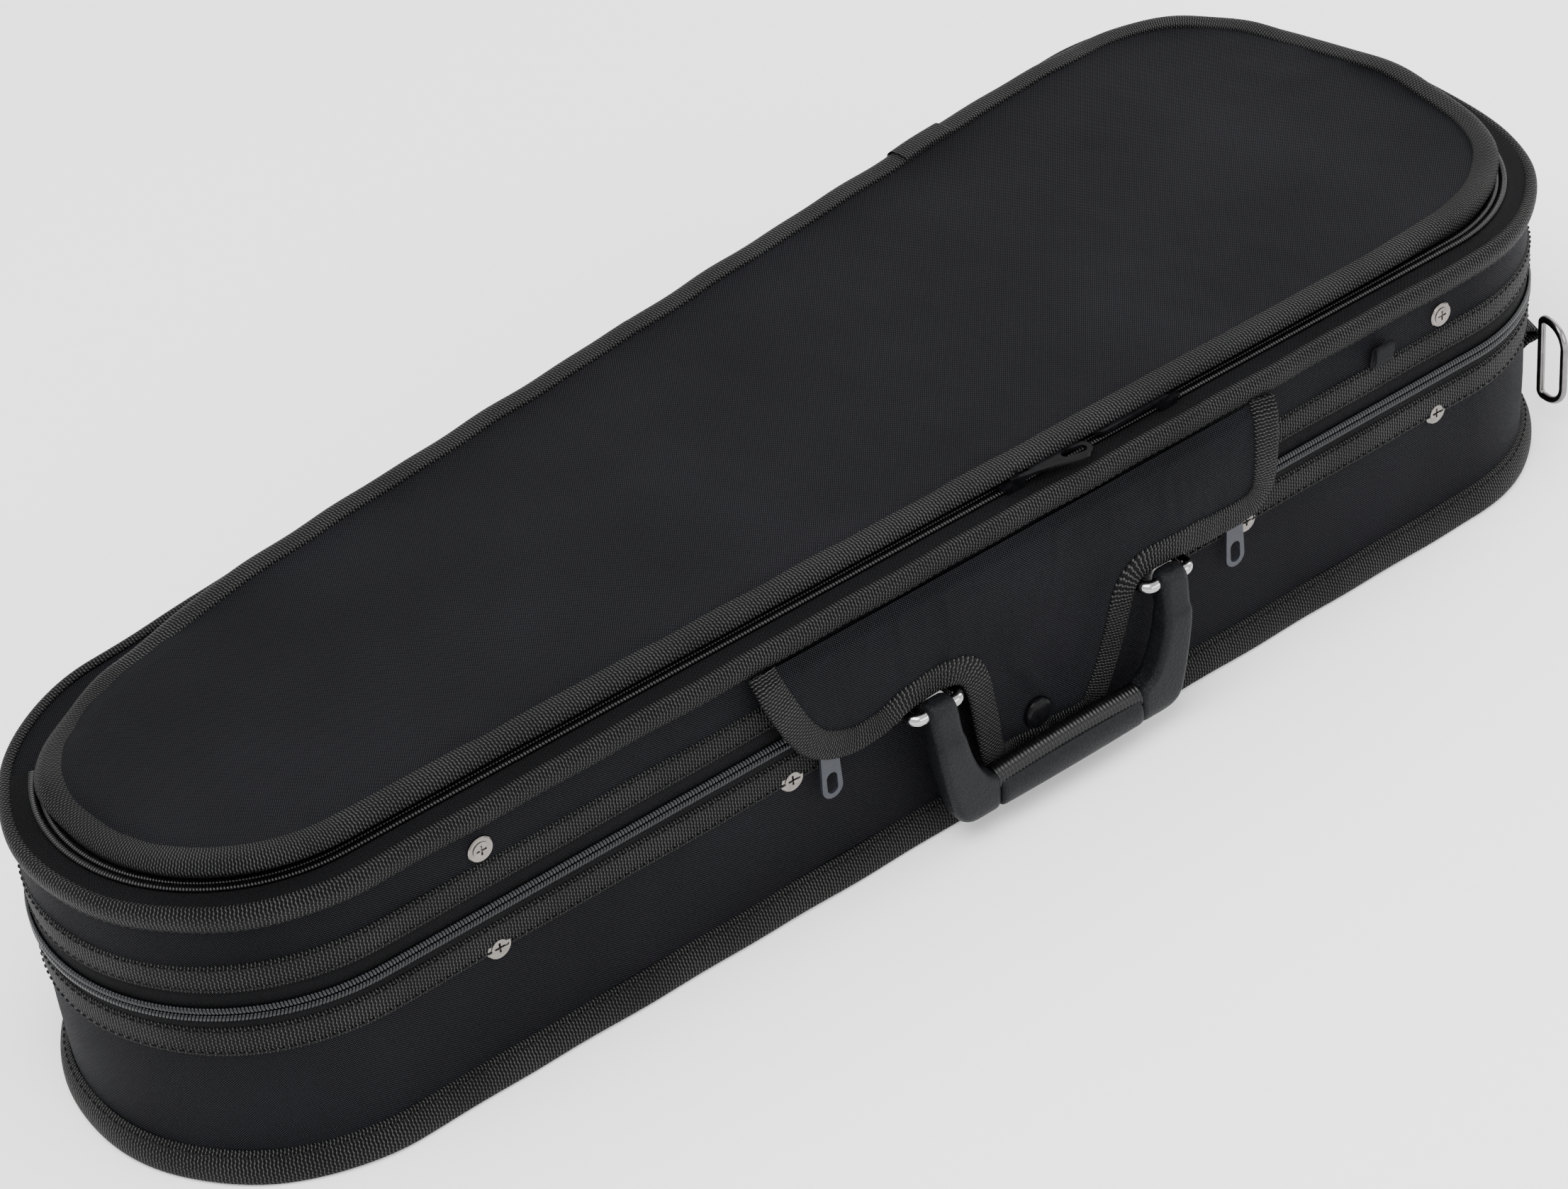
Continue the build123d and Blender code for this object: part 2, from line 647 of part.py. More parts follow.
def flap_shape(inset=0.0):
    """The flap's outline on the front wall, drawn in by `inset` on every side but the top."""
    with BuildSketch() as shape:
        with BuildLine():
            Polyline(
                (-flap_top_half + inset, sewn_z + 1),
                (flap_top_half - inset, sewn_z + 1),
                (flap_low_half - inset, flap_edge_z + inset),
                (notch[1] + inset, flap_edge_z + inset),
                (notch[1] - notch_slants[1] + inset, notch_top_z + inset),
                (notch[0] + notch_slants[0] - inset, notch_top_z + inset),
                (notch[0] - inset, flap_edge_z),
                (tongue_low_half - inset, tongue_low_z + inset),
                (-tongue_low_half + inset, tongue_low_z + inset),
                (-notch[0] + inset, flap_edge_z),
                (-notch[0] - notch_slants[0] + inset, notch_top_z + inset),
                (-notch[1] + notch_slants[1] - inset, notch_top_z + inset),
                (-notch[1] - inset, flap_edge_z + inset),
                (-flap_low_half + inset, flap_edge_z + inset),
                close=True,
            )
        make_face()
        fillet(shape.vertices().sort_by(Axis.Y)[:2], tongue_round - inset / 2)
        wings = shape.vertices().filter_by_position(Axis.Y, flap_edge_z - 1, notch_top_z).sort_by(Axis.X)
        fillet([wings[0], wings[-1]], wing_round - inset)
    return wall_plane(flap_s) * shape.sketch


def flap_section(low, high):
    """The flap's section across the wall, between two distances from its inner face."""
    with BuildSketch(front_section(flap_s + case_length / 2)) as section:
        with BuildLine():
            inner = [(out + low, height) for out, height in flap_profile]
            outer = [(out + high, height) for out, height in reversed(flap_profile)]
            Polyline(*inner, *outer, close=True)
        make_face()
    return section.sketch


with BuildPart() as flap:
    extrude(flap_section(0, flap_thick), amount=case_length)
    extrude(flap_shape(), amount=40, mode=Mode.INTERSECT)
save(flap, "flap")

with BuildPart() as flap_tape:
    extrude(flap_section(flap_thick, flap_thick + edging_out), amount=case_length)
    extrude(flap_shape(), amount=40, mode=Mode.INTERSECT)
    extrude(flap_shape(flap_edging), amount=40, mode=Mode.SUBTRACT)
save(flap_tape, "flap_tape")

cap_r = 6.2
with BuildPart() as snap_cap:
    with BuildSketch(front_wall.offset(flap_profile[-1][0] + flap_thick)) as cap_face:
        with Locations((snap_s, snap_z)):
            Circle(cap_r)
    extrude(cap_face.sketch, amount=2.4)
    fillet(snap_cap.faces().filter_by(GeomType.PLANE).sort_by(Axis.Y)[0].edges(), 1.6)
save(snap_cap, "snap_cap")

with BuildPart() as snap_stud:
    with BuildSketch(front_wall) as stud_face:
        with Locations((snap_s, snap_z)):
            Circle(5.4)
    extrude(stud_face.sketch, amount=0.9)
    with BuildSketch(front_wall.offset(0.9)) as knob_face:
        with Locations((snap_s, snap_z)):
            Circle(2.0)
    extrude(knob_face.sketch, amount=1.8)
save(snap_stud, "snap_stud")

# --- rings for a shoulder strap -----------------------------------------------------------------
ring_z = 31.0
ring_bar_out = 9.0
ring_wire = 1.6
ring_half = 18.0
ring_reach = 13.0
ring_bends = (2.4, 9.0)
tab_height = 30.0
tab_web = 3.2
tab_patch = 20.0
# Each ring's wall arc, its place on that arc, and how far it is swung round from straight out.
rings = {
    "wide": (wide_corner_x, -wide_corner_y, wide_corner_radius, -39.0, -60.0),
    "narrow": (narrow_x, 0, narrow_radius, 118.0, -60.0),
}

for place, (x, y, radius, angle, swing) in rings.items():
    out = Vector(cos(radians(angle)), sin(radians(angle)), 0)
    across = Plane((*on_circle(x, y, radius, angle), 0), x_dir=out, z_dir=out.cross(Vector(0, 0, 1)))
    bar_foot = Plane(across.from_local_coords(Vector(ring_bar_out, ring_z - tab_height / 2, 0)))
    with BuildPart() as ring_tab:
        ring(ring_z - tab_height / 2, ring_z + tab_height / 2, tape_out, 0)
        with BuildSketch(across.offset(-tab_patch / 2)) as patch:
            with Locations((0, ring_z)):
                Rectangle(tab_patch, case_length)
        extrude(patch.sketch, amount=tab_patch, mode=Mode.INTERSECT)
        with BuildSketch(across.offset(-tab_web / 2)) as web:
            with Locations(((ring_bar_out + tape_out) / 2, ring_z)):
                Rectangle(ring_bar_out - tape_out + 1, tab_height)
        extrude(web.sketch, amount=tab_web)
        with BuildSketch(bar_foot) as loop:
            Circle(ring_wire + tape_out)
        extrude(loop.sketch, amount=tab_height)
        with BuildSketch(bar_foot) as bore:
            Circle(ring_wire + 0.1)
        extrude(bore.sketch, amount=tab_height, mode=Mode.SUBTRACT)
    save(ring_tab, f"ring_tab_{place}")

    swung = out.rotate(Axis.Z, swing)
    bar = across.from_local_coords(Vector(ring_bar_out, ring_z, 0))
    with BuildPart() as d_ring:
        with BuildLine(Plane(bar, x_dir=swung, z_dir=swung.cross(Vector(0, 0, 1)))) as wire:
            FilletPolyline(
                (0, ring_half),
                (ring_reach, ring_half),
                (ring_reach, -ring_half),
                (0, -ring_half),
                radius=(*ring_bends, *reversed(ring_bends)),
                close=True,
            )
        with BuildSketch(Plane(wire.line @ 0, z_dir=wire.line % 0)) as wire_face:
            Circle(ring_wire)
        sweep(wire_face.sketch, path=wire.line)
    save(d_ring, f"d_ring_{place}")

# --- inside the lid -----------------------------------------------------------------------------
spinner_x = 212.0
spinner_y = 34.0
spinner_size = (36.0, 10.0)
spinner_z = 98.0
for name, y in (("a", -spinner_y), ("b", spinner_y)):
    with BuildPart() as spinner_post:
        with BuildSketch(Plane.XY.offset(ceiling_z)) as post:
            with Locations((spinner_x, y)):
                Circle(5.0)
        extrude(post.sketch, amount=spinner_z + 4.2 - ceiling_z)
    save(spinner_post, f"spinner_post_{name}")
    with BuildPart() as bow_spinner:
        with BuildSketch(Plane.XY.offset(spinner_z)) as wing:
            with Locations((spinner_x, y)):
                SlotOverall(*spinner_size)
        extrude(wing.sketch, amount=4)
    save(bow_spinner, f"bow_spinner_{name}")

holder_x = -252.0
with BuildPart() as bow_tip_holders:
    for y in (-24.0, 24.0):
        with BuildSketch(Plane.YZ.offset(holder_x)) as pouch:
            with Locations((y, ceiling_z - 7.5)):
                RectangleRounded(26, 15, 5)
                RectangleRounded(20, 9, 3, mode=Mode.SUBTRACT)
        extrude(pouch.sketch, amount=34)
save(bow_tip_holders, "bow_tip_holders")
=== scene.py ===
from math import acos, atan2, cos, hypot, pi, radians, sin

import bmesh
import bpy
import numpy as np
from mathutils import Matrix, Vector
from mathutils.bvhtree import BVHTree
from mathutils.geometry import barycentric_transform


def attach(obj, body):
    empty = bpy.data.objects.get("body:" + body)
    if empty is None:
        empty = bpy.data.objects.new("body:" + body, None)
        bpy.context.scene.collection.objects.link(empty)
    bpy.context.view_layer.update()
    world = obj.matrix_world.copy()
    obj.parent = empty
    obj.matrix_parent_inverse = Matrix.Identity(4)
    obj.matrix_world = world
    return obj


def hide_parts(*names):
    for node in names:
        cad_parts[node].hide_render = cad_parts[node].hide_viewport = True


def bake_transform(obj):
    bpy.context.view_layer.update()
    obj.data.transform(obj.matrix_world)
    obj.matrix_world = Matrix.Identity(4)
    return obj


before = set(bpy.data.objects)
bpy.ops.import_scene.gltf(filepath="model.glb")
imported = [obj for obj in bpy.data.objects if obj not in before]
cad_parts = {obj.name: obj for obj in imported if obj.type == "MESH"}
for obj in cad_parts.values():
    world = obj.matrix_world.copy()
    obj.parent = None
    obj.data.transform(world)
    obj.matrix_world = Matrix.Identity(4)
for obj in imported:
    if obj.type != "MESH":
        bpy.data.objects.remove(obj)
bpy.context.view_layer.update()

MM = 0.001

# --- plan outline of the case, in metres ------------------------------------------------------
CASE_LENGTH = 0.640
NARROW_R = 0.0756
CORNER_R = 0.0700
CORNER_X = 0.2456
CORNER_Y = 0.0393
narrow_x = NARROW_R - CASE_LENGTH / 2
to_end = CORNER_X - CASE_LENGTH / 2
END_R = (CORNER_R**2 - to_end**2 - CORNER_Y**2) / (2 * (to_end + CORNER_R))
end_x = CASE_LENGTH / 2 - END_R
side_angle = atan2(CORNER_Y, CORNER_X - narrow_x) + acos(
    (NARROW_R - CORNER_R) / hypot(CORNER_X - narrow_x, CORNER_Y)
)
corner_angle = atan2(CORNER_Y, CORNER_X - end_x)
FINE = 0.4 * MM


def walked(path):
    """The length walked along a path up to each of its points."""
    return np.concatenate([[0], np.cumsum(np.linalg.norm(np.diff(path, axis=0), axis=1))])


def arc(cx, cy, radius, start, stop):
    """Points and outward normals along an arc, without its last point."""
    angles = np.linspace(start, stop, int(abs(stop - start) * radius / FINE), endpoint=False)
    normals = np.stack([np.cos(angles), np.sin(angles)], 1)
    return np.array([cx, cy]) + radius * normals, normals


def straight(start, stop, angle):
    """Points and outward normals along a straight wall, without its last point."""
    start, stop = np.array(start), np.array(stop)
    count = int(np.linalg.norm(stop - start) / FINE)
    points = start + np.linspace(0, 1, count, endpoint=False)[:, None] * (stop - start)
    return points, np.tile([cos(angle), sin(angle)], (count, 1))


def on_circle(cx, cy, radius, angle):
    return cx + radius * cos(angle), cy + radius * sin(angle)


front_start = on_circle(narrow_x, 0, NARROW_R, -side_angle)
front_end = on_circle(CORNER_X, -CORNER_Y, CORNER_R, -side_angle)
back_start = on_circle(CORNER_X, CORNER_Y, CORNER_R, side_angle)
back_end = on_circle(narrow_x, 0, NARROW_R, side_angle)
back_middle = ((back_start[0] + back_end[0]) / 2, (back_start[1] + back_end[1]) / 2)
runs = [
    straight(back_middle, back_end, side_angle),
    arc(narrow_x, 0, NARROW_R, side_angle, 2 * pi - side_angle),
    straight(front_start, front_end, -side_angle),
    arc(CORNER_X, -CORNER_Y, CORNER_R, -side_angle, -corner_angle),
    arc(end_x, 0, END_R, -corner_angle, corner_angle),
    arc(CORNER_X, CORNER_Y, CORNER_R, corner_angle, side_angle),
    straight(back_start, back_middle, side_angle),
]
rim_points = np.concatenate([points for points, normals in runs] + [runs[0][0][:1]])
rim_normals = np.concatenate([normals for points, normals in runs] + [runs[0][1][:1]])
rim_lengths = walked(rim_points)
AROUND = rim_lengths[-1]
FRONT_AT = hypot(back_middle[0] - back_end[0], back_middle[1] - back_end[1]) + NARROW_R * (
    2 * pi - 2 * side_angle
)


def place(along, out, z):
    """Points at arc lengths round the case from the middle of its back, out from its cover."""
    along = np.mod(along, AROUND)
    x = np.interp(along, rim_lengths, rim_points[:, 0])
    y = np.interp(along, rim_lengths, rim_points[:, 1])
    nx = np.interp(along, rim_lengths, rim_normals[:, 0])
    ny = np.interp(along, rim_lengths, rim_normals[:, 1])
    return np.stack(np.broadcast_arrays(x + nx * out, y + ny * out, z), -1)


def depth_behind(along):
    """How far in front of the back wall's plane the outline is at these arc lengths."""
    points = place(along, 0, 0)[..., :2]
    return (np.array(back_end) - points) @ np.array([cos(side_angle), sin(side_angle)])


wall_along = Vector((front_end[0] - front_start[0], front_end[1] - front_start[1], 0)).normalized()
wall_out = Vector((wall_along.y, -wall_along.x, 0))


def wall(s, out, z):
    """A point on the front wall: s along it, out from it, and z up."""
    return Vector((*front_start, 0)) + wall_along * s + wall_out * out + Vector((0, 0, z))


def mm(*pairs):
    return [tuple(value * MM for value in pair) for pair in pairs]


def waves(x, *terms):
    """A gentle wave: each term is its amplitude, its length and its shift."""
    return sum(size * np.sin(2 * pi * x / length + shift) for size, length, shift in terms)


# --- meshes -----------------------------------------------------------------------------------
def mesh_object(name, verts, faces, uvs=None):
    """A smooth object of these vertices and faces; uvs gives each face corner's place in metres."""
    mesh = bpy.data.meshes.new(name)
    mesh.from_pydata(np.asarray(verts).tolist(), [], [list(map(int, face)) for face in faces])
    if uvs is not None:
        layer = mesh.uv_layers.new(name="UVMap")
        layer.data.foreach_set("uv", np.asarray(uvs, dtype=np.float32).ravel())
    mesh.polygons.foreach_set("use_smooth", [True] * len(mesh.polygons))
    mesh.update()
    piece = bpy.data.objects.new(name, mesh)
    bpy.context.scene.collection.objects.link(piece)
    return piece


def grid_faces(rows, cols, closed_rows=False, closed_cols=False):
    """Quads over rows by cols vertices, numbered row by row, with each quad's row and column."""
    i, j = np.meshgrid(
        np.arange(rows if closed_rows else rows - 1),
        np.arange(cols if closed_cols else cols - 1),
        indexing="ij",
    )
    next_i, next_j = (i + 1) % rows, (j + 1) % cols
    quads = np.stack([i * cols + j, next_i * cols + j, next_i * cols + next_j, i * cols + next_j], -1)
    return quads.reshape(-1, 4), i.ravel(), j.ravel()


def grid_uvs(us, vs, i, j):
    """Texture corners of grid_faces from the positions along its rows and columns."""
    corners = [(i, j), (i + 1, j), (i + 1, j + 1), (i, j + 1)]
    return np.stack([np.stack([us[a], vs[b]], -1) for a, b in corners], 1)


def rounded(points):
    """The profile with its corners cut twice, so that they are round."""
    points = np.array(points, dtype=float)
    for _ in range(2):
        first, second = points[:-1], points[1:]
        cuts = np.stack([first * 0.75 + second * 0.25, first * 0.25 + second * 0.75], 1)
        points = np.vstack([points[:1], cuts.reshape(-1, 2), points[-1:]])
    return points


def band(name, profile, bend=None, keep=None, step=2.5 * MM):
    """A strip swept round the case. profile has (out, z) pairs from low to high. bend gives what to
    add to them along the outline, and keep says which arc lengths stay."""
    lengths = np.linspace(0, AROUND, int(AROUND / step) + 1)
    profile = np.array(profile, dtype=float)
    outs, heights = (np.tile(profile[:, k], (len(lengths) - 1, 1)) for k in (0, 1))
    if bend is not None:
        more_out, more_z = bend(lengths[:-1, None], profile)
        outs, heights = outs + more_out, heights + more_z
    verts = place(lengths[:-1, None], outs, heights)
    across = walked(profile)
    faces, i, j = grid_faces(len(lengths) - 1, len(profile), closed_rows=True)
    uvs = grid_uvs(lengths, across, i, j)
    if keep is not None:
        chosen = keep(lengths[i])
        faces, uvs = faces[chosen], uvs[chosen]
    return mesh_object(name, verts.reshape(-1, 3), faces, uvs)


def plate(name, out, z, up):
    """A flat plate of the outline's shape, textured by its position."""
    lengths = np.linspace(0, AROUND, 260, endpoint=False)
    edge = place(lengths, out, z)
    spine = edge.copy()
    spine[:, 0] = np.clip(edge[:, 0], narrow_x, CORNER_X - 0.02)
    spine[:, 1] = 0
    fractions = np.linspace(0, 1, 6)[:, None, None]
    verts = (edge * (1 - fractions) + spine * fractions).reshape(-1, 3)
    faces, i, j = grid_faces(6, len(edge), closed_cols=True)
    faces = faces[:, ::-1] if up else faces
    return mesh_object(name, verts, faces, verts[faces][:, :, :2])


def join(name, pieces):
    """The pieces as one object of that name."""
    bpy.ops.object.select_all(action="DESELECT")
    for piece in pieces:
        piece.select_set(True)
    bpy.context.view_layer.objects.active = pieces[0]
    bpy.ops.object.join()
    pieces[0].name = name
    return pieces[0]


def apply_modifiers(piece):
    """Makes the piece's modified mesh its own mesh."""
    bpy.context.view_layer.update()
    evaluated = piece.evaluated_get(bpy.context.evaluated_depsgraph_get())
    mesh = bpy.data.meshes.new_from_object(evaluated)
    piece.modifiers.clear()
    old, piece.data = piece.data, mesh
    bpy.data.meshes.remove(old)
    return piece


def subdivide(piece):
    """Subdivides the piece once, and shades it smooth."""
    modifier = piece.modifiers.new("smooth", "SUBSURF")
    modifier.levels = 1
    modifier.boundary_smooth = "PRESERVE_CORNERS"
    apply_modifiers(piece)
    piece.data.polygons.foreach_set("use_smooth", [True] * len(piece.data.polygons))
    return piece


def cad_copy(name, node):
    """A copy of a CAD node's shape."""
    piece = bpy.data.objects.new(name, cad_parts[node].data.copy())
    bpy.context.scene.collection.objects.link(piece)
    return piece


def finish_piece(piece, material, body, *replaced, slot=None):
    """Gives a piece its material and its body unless it is blended, and hides the CAD nodes it stands for.
    """
    piece.data.materials.clear()
    piece.data.materials.append(material)
    if body:
        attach(piece, body)
    if replaced:
        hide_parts(*replaced)
    return piece


def faces_of(piece):
    return [list(face.vertices) for face in piece.data.polygons]


def positions(piece):
    """The piece's vertices as an array."""
    values = np.empty(len(piece.data.vertices) * 3)
    piece.data.vertices.foreach_get("co", values)
    return values.reshape(-1, 3)


def set_positions(piece, values):
    piece.data.vertices.foreach_set("co", np.asarray(values, dtype=np.float32).ravel())
    piece.data.update()


# --- cloth simulation -------------------------------------------------------------------------
def simulate(piece, frames, cap, pinned=None, pressure=0.0, gravity=1.0, slack=0.0, stiff=15.0,
             bending=0.5, supports=()):
    """Lets a piece settle as cloth for some frames, and keeps what it becomes. No vertex ends more
    than cap from where it began. supports are the objects that it lies against."""
    for support in supports:
        support.modifiers.new("support", "COLLISION")
        support.collision.thickness_outer = 0.001
    modifier = piece.modifiers.new("cloth", "CLOTH")
    settings = modifier.settings
    settings.quality = 6
    settings.mass = 0.15
    settings.tension_stiffness = settings.compression_stiffness = stiff
    settings.shear_stiffness = stiff / 2
    settings.bending_stiffness = bending
    settings.effector_weights.gravity = gravity
    settings.shrink_min = -slack
    if pressure:
        settings.use_pressure = True
        settings.uniform_pressure_force = pressure
    if pinned is not None:
        group = piece.vertex_groups.new(name="pinned")
        group.add([int(index) for index in np.flatnonzero(pinned)], 1.0, "REPLACE")
        settings.vertex_group_mass = "pinned"
    modifier.collision_settings.use_collision = bool(supports)
    modifier.collision_settings.distance_min = 0.0008
    modifier.point_cache.frame_end = frames + 1
    start = positions(piece)
    scene = bpy.context.scene
    for number in range(1, frames + 1):
        scene.frame_set(number)
    evaluated = piece.evaluated_get(bpy.context.evaluated_depsgraph_get())
    ended = np.empty(len(start) * 3)
    evaluated.data.vertices.foreach_get("co", ended)
    moved = ended.reshape(-1, 3) - start
    distance = np.linalg.norm(moved, axis=1, keepdims=True)
    moved *= cap * np.tanh(distance / cap) / np.maximum(distance, 1e-9)
    piece.modifiers.clear()
    piece.vertex_groups.clear()
    set_positions(piece, start + moved)
    for support in supports:
        support.modifiers.clear()
    scene.frame_set(1)
    return piece


def padded_copy(name, node, body, voxel=4.0 * MM, start_in=1.0 * MM, cap=3 * MM):
    """A stuffed or foam piece that stands for a CAD node: its shape, remeshed, a little smaller,
    swollen as cloth, and smoothed."""
    piece = cad_copy(name, node)
    remesh = piece.modifiers.new("remesh", "REMESH")
    remesh.mode = "VOXEL"
    remesh.voxel_size = voxel
    relax = piece.modifiers.new("relax", "SMOOTH")
    relax.factor = 0.5
    relax.iterations = 4
    apply_modifiers(piece)
    normals = np.empty(len(piece.data.vertices) * 3)
    piece.data.vertices.foreach_get("normal", normals)
    set_positions(piece, positions(piece) - normals.reshape(-1, 3) * start_in)
    simulate(piece, 16, cap, pressure=4.0, gravity=0.0, stiff=12.0)
    settle = piece.modifiers.new("settle", "SMOOTH")
    settle.factor = 0.5
    settle.iterations = 5
    apply_modifiers(piece)
    subdivide(piece)
    finish_piece(piece, plush, body, node, slot="plush")


# --- materials --------------------------------------------------------------------------------
class Nodes:
    """One material's node tree, with short names for building it."""

    def __init__(self, name, **sockets):
        self.material = bpy.data.materials.new(name)
        self.material.use_nodes = True
        self.tree = self.material.node_tree
        self.shader = self.tree.nodes["Principled BSDF"]
        for socket, value in sockets.items():
            self.shader.inputs[socket.replace("_", " ")].default_value = value

    def add(self, kind, **settings):
        node = self.tree.nodes.new(kind)
        for key, value in settings.items():
            setattr(node, key, value)
        return node

    def link(self, source, target):
        self.tree.links.new(source, target)

    def math(self, operation, a, b=0.0):
        node = self.add("ShaderNodeMath", operation=operation)
        for socket, value in zip(node.inputs, (a, b)):
            if isinstance(value, (int, float)):
                socket.default_value = value
            else:
                self.link(value, socket)
        return node.outputs[0]

    def plus(self, *terms):
        """The sum of (factor, value) terms."""
        total = None
        for factor, value in terms:
            term = self.math("MULTIPLY", value, factor)
            total = term if total is None else self.math("ADD", total, term)
        return total

    def uv(self):
        split = self.add("ShaderNodeSeparateXYZ")
        self.link(self.add("ShaderNodeUVMap").outputs[0], split.inputs[0])
        return split.outputs[0], split.outputs[1]

    def place(self):
        split = self.add("ShaderNodeSeparateXYZ")
        self.link(self.position(), split.inputs[0])
        return split.outputs

    def position(self):
        return self.add("ShaderNodeTexCoord").outputs["Object"]

    def noise(self, scale, detail=2.0):
        node = self.add("ShaderNodeTexNoise")
        node.inputs["Scale"].default_value = scale
        node.inputs["Detail"].default_value = detail
        self.link(self.position(), node.inputs["Vector"])
        return node.outputs["Fac"]

    def sine(self, along, pitch, shift=0.0):
        """A sine from -1 to 1 whose period is pitch; shift may be a socket."""
        angle = self.math("MULTIPLY", along, 2 * pi / pitch)
        return self.math("SINE", self.math("ADD", angle, shift))

    def half(self, signed):
        return self.math("ADD", self.math("MULTIPLY", signed, 0.5), 0.5)

    def ramp(self, factor, stops):
        node = self.add("ShaderNodeValToRGB")
        while len(node.color_ramp.elements) < len(stops):
            node.color_ramp.elements.new(0.5)
        for element, (at, colour) in zip(node.color_ramp.elements, stops):
            element.position = at
            element.color = (*colour, 1)
        self.link(factor, node.inputs[0])
        return node.outputs[0]

    def colour(self, source):
        self.link(source, self.shader.inputs["Base Color"])

    def roughness(self, factor, low, high):
        grey = self.math("ADD", self.math("MULTIPLY", factor, high - low), low)
        self.link(grey, self.shader.inputs["Roughness"])

    def bump(self, height, distance, strength=1.0):
        node = self.add("ShaderNodeBump")
        node.inputs["Strength"].default_value = strength
        node.inputs["Distance"].default_value = distance
        self.link(height, node.inputs["Height"])
        self.link(node.outputs[0], self.shader.inputs["Normal"])


def shade(colour, factor):
    return tuple(value * factor for value in colour)


def weave_material(name, colour, cell=0.48 * MM, in_space=False):
    """Plain weave: threads pass over each other in a chequer of cells, with painted highlights on their
    crests and painted shade between them. in_space reads it from the place, not from the texture corners."""
    nodes = Nodes(name, Specular_IOR_Level=0.045, Sheen_Weight=0.004, Sheen_Roughness=0.4)
    if in_space:
        x, y, z = nodes.place()
        u, v = nodes.math("ADD", x, nodes.math("MULTIPLY", y, 0.02)), nodes.math("ADD", y, z)
    else:
        u, v = nodes.uv()
    over = nodes.math("MULTIPLY", nodes.sine(u, 2 * cell), nodes.sine(v, 2 * cell))
    lift = nodes.half(over)
    fuzz = nodes.noise(1500, 1)
    # Painted highlight and shade: where threads lift over each other the colour climbs to twelve times the
    # yarn's own, as if lit, and between them it drops near black, as shade; the two noises add random tone.
    tone = nodes.plus((0.76, lift), (0.24, nodes.noise(14, 3)), (0.2, fuzz))
    stops = [(0.3, shade(colour, 0.03)), (0.66, shade(colour, 0.4)), (0.95, shade(colour, 12.0))]
    nodes.colour(nodes.ramp(tone, stops))
    nodes.roughness(fuzz, 0.5, 0.75)
    nodes.bump(lift, 0.5 * MM)
    return nodes.material


def ribbed_material(name, colour, pitch=1.25 * MM, slant=0.26 * MM):
    """Ribbed tape: ribs across its length, each of small slanting threads, with painted highlights on their
    crests and painted shade in the gaps between them.
    """
    nodes = Nodes(name, Specular_IOR_Level=0.08, Sheen_Weight=0.004, Sheen_Roughness=0.4)
    u, v = nodes.uv()
    zigzag = nodes.math("MULTIPLY", nodes.sine(v, 3.1 * MM), 2 * pi * slant / pitch / 2)
    ribs = nodes.half(nodes.sine(u, pitch, zigzag))
    threads = nodes.half(nodes.sine(v, 1.5 * MM, nodes.math("MULTIPLY", u, pi / pitch)))
    lift = nodes.plus((0.72, ribs), (0.28, threads))
    cloud = nodes.noise(30, 3)
    fuzz = nodes.noise(1300, 1)
    # Painted highlight and shade: rib and thread crests are painted up to twenty times the tape's own
    # colour, as if lit, and the gaps near black, as shade; cloud and fuzz add random tone.
    tone = nodes.plus((0.8, lift), (0.22, cloud), (0.16, fuzz))
    stops = [(0.25, shade(colour, 0.02)), (0.66, shade(colour, 0.3)), (0.98, shade(colour, 20.0))]
    nodes.colour(nodes.ramp(tone, stops))
    nodes.roughness(fuzz, 0.45, 0.7)
    nodes.bump(lift, 0.9 * MM)
    return nodes.material


def mottled_material(name, colour, tone, stops, rough, relief, **sockets):
    """Its colour, roughness and surface each follow a noise. tone, and the last two numbers of rough
    and relief, are a noise's scale and detail; stops are (where in the noise, share of the colour)."""
    nodes = Nodes(name, **sockets)
    stops = [(at, shade(colour, share)) for at, share in stops]
    nodes.colour(nodes.ramp(nodes.noise(*tone), stops))
    nodes.roughness(nodes.noise(*rough[2:]), *rough[:2])
    nodes.bump(nodes.noise(*relief[2:]), *relief[:2])
    return nodes.material


def coil_material(name, colour):
    return mottled_material(
        name, colour, (900, 1), [(0.35, 0.5), (0.7, 1.8)], (0.18, 0.4, 900, 1),
        (0.05 * MM, 0.4, 900, 1), Specular_IOR_Level=0.3,
    )


def gloss_material(name, colour):
    """Glossy enamel, with fine scuffs."""
    return mottled_material(
        name, colour, (380, 4), [(0.35, 1), (0.75, 2.2)], (0.1, 0.26, 380, 4),
        (0.03 * MM, 0.3, 240, 3), Specular_IOR_Level=0.07,
    )


def metal_material(name, colour, low=0.1, high=0.3):
    return mottled_material(
        name, colour, (260, 4), [(0.3, 0.7), (0.7, 1)], (low, high, 420, 3),
        (0.02 * MM, 0.25, 500, 3), Metallic=1.0,
    )


def satin_material(name, colour, low=0.3, high=0.5, level=0.5):
    return mottled_material(
        name, colour, (500, 3), [(0.3, 0.8), (0.7, 1.2)], (low, high, 500, 3),
        (0.02 * MM, 0.3, 1500, 2), Specular_IOR_Level=level,
    )


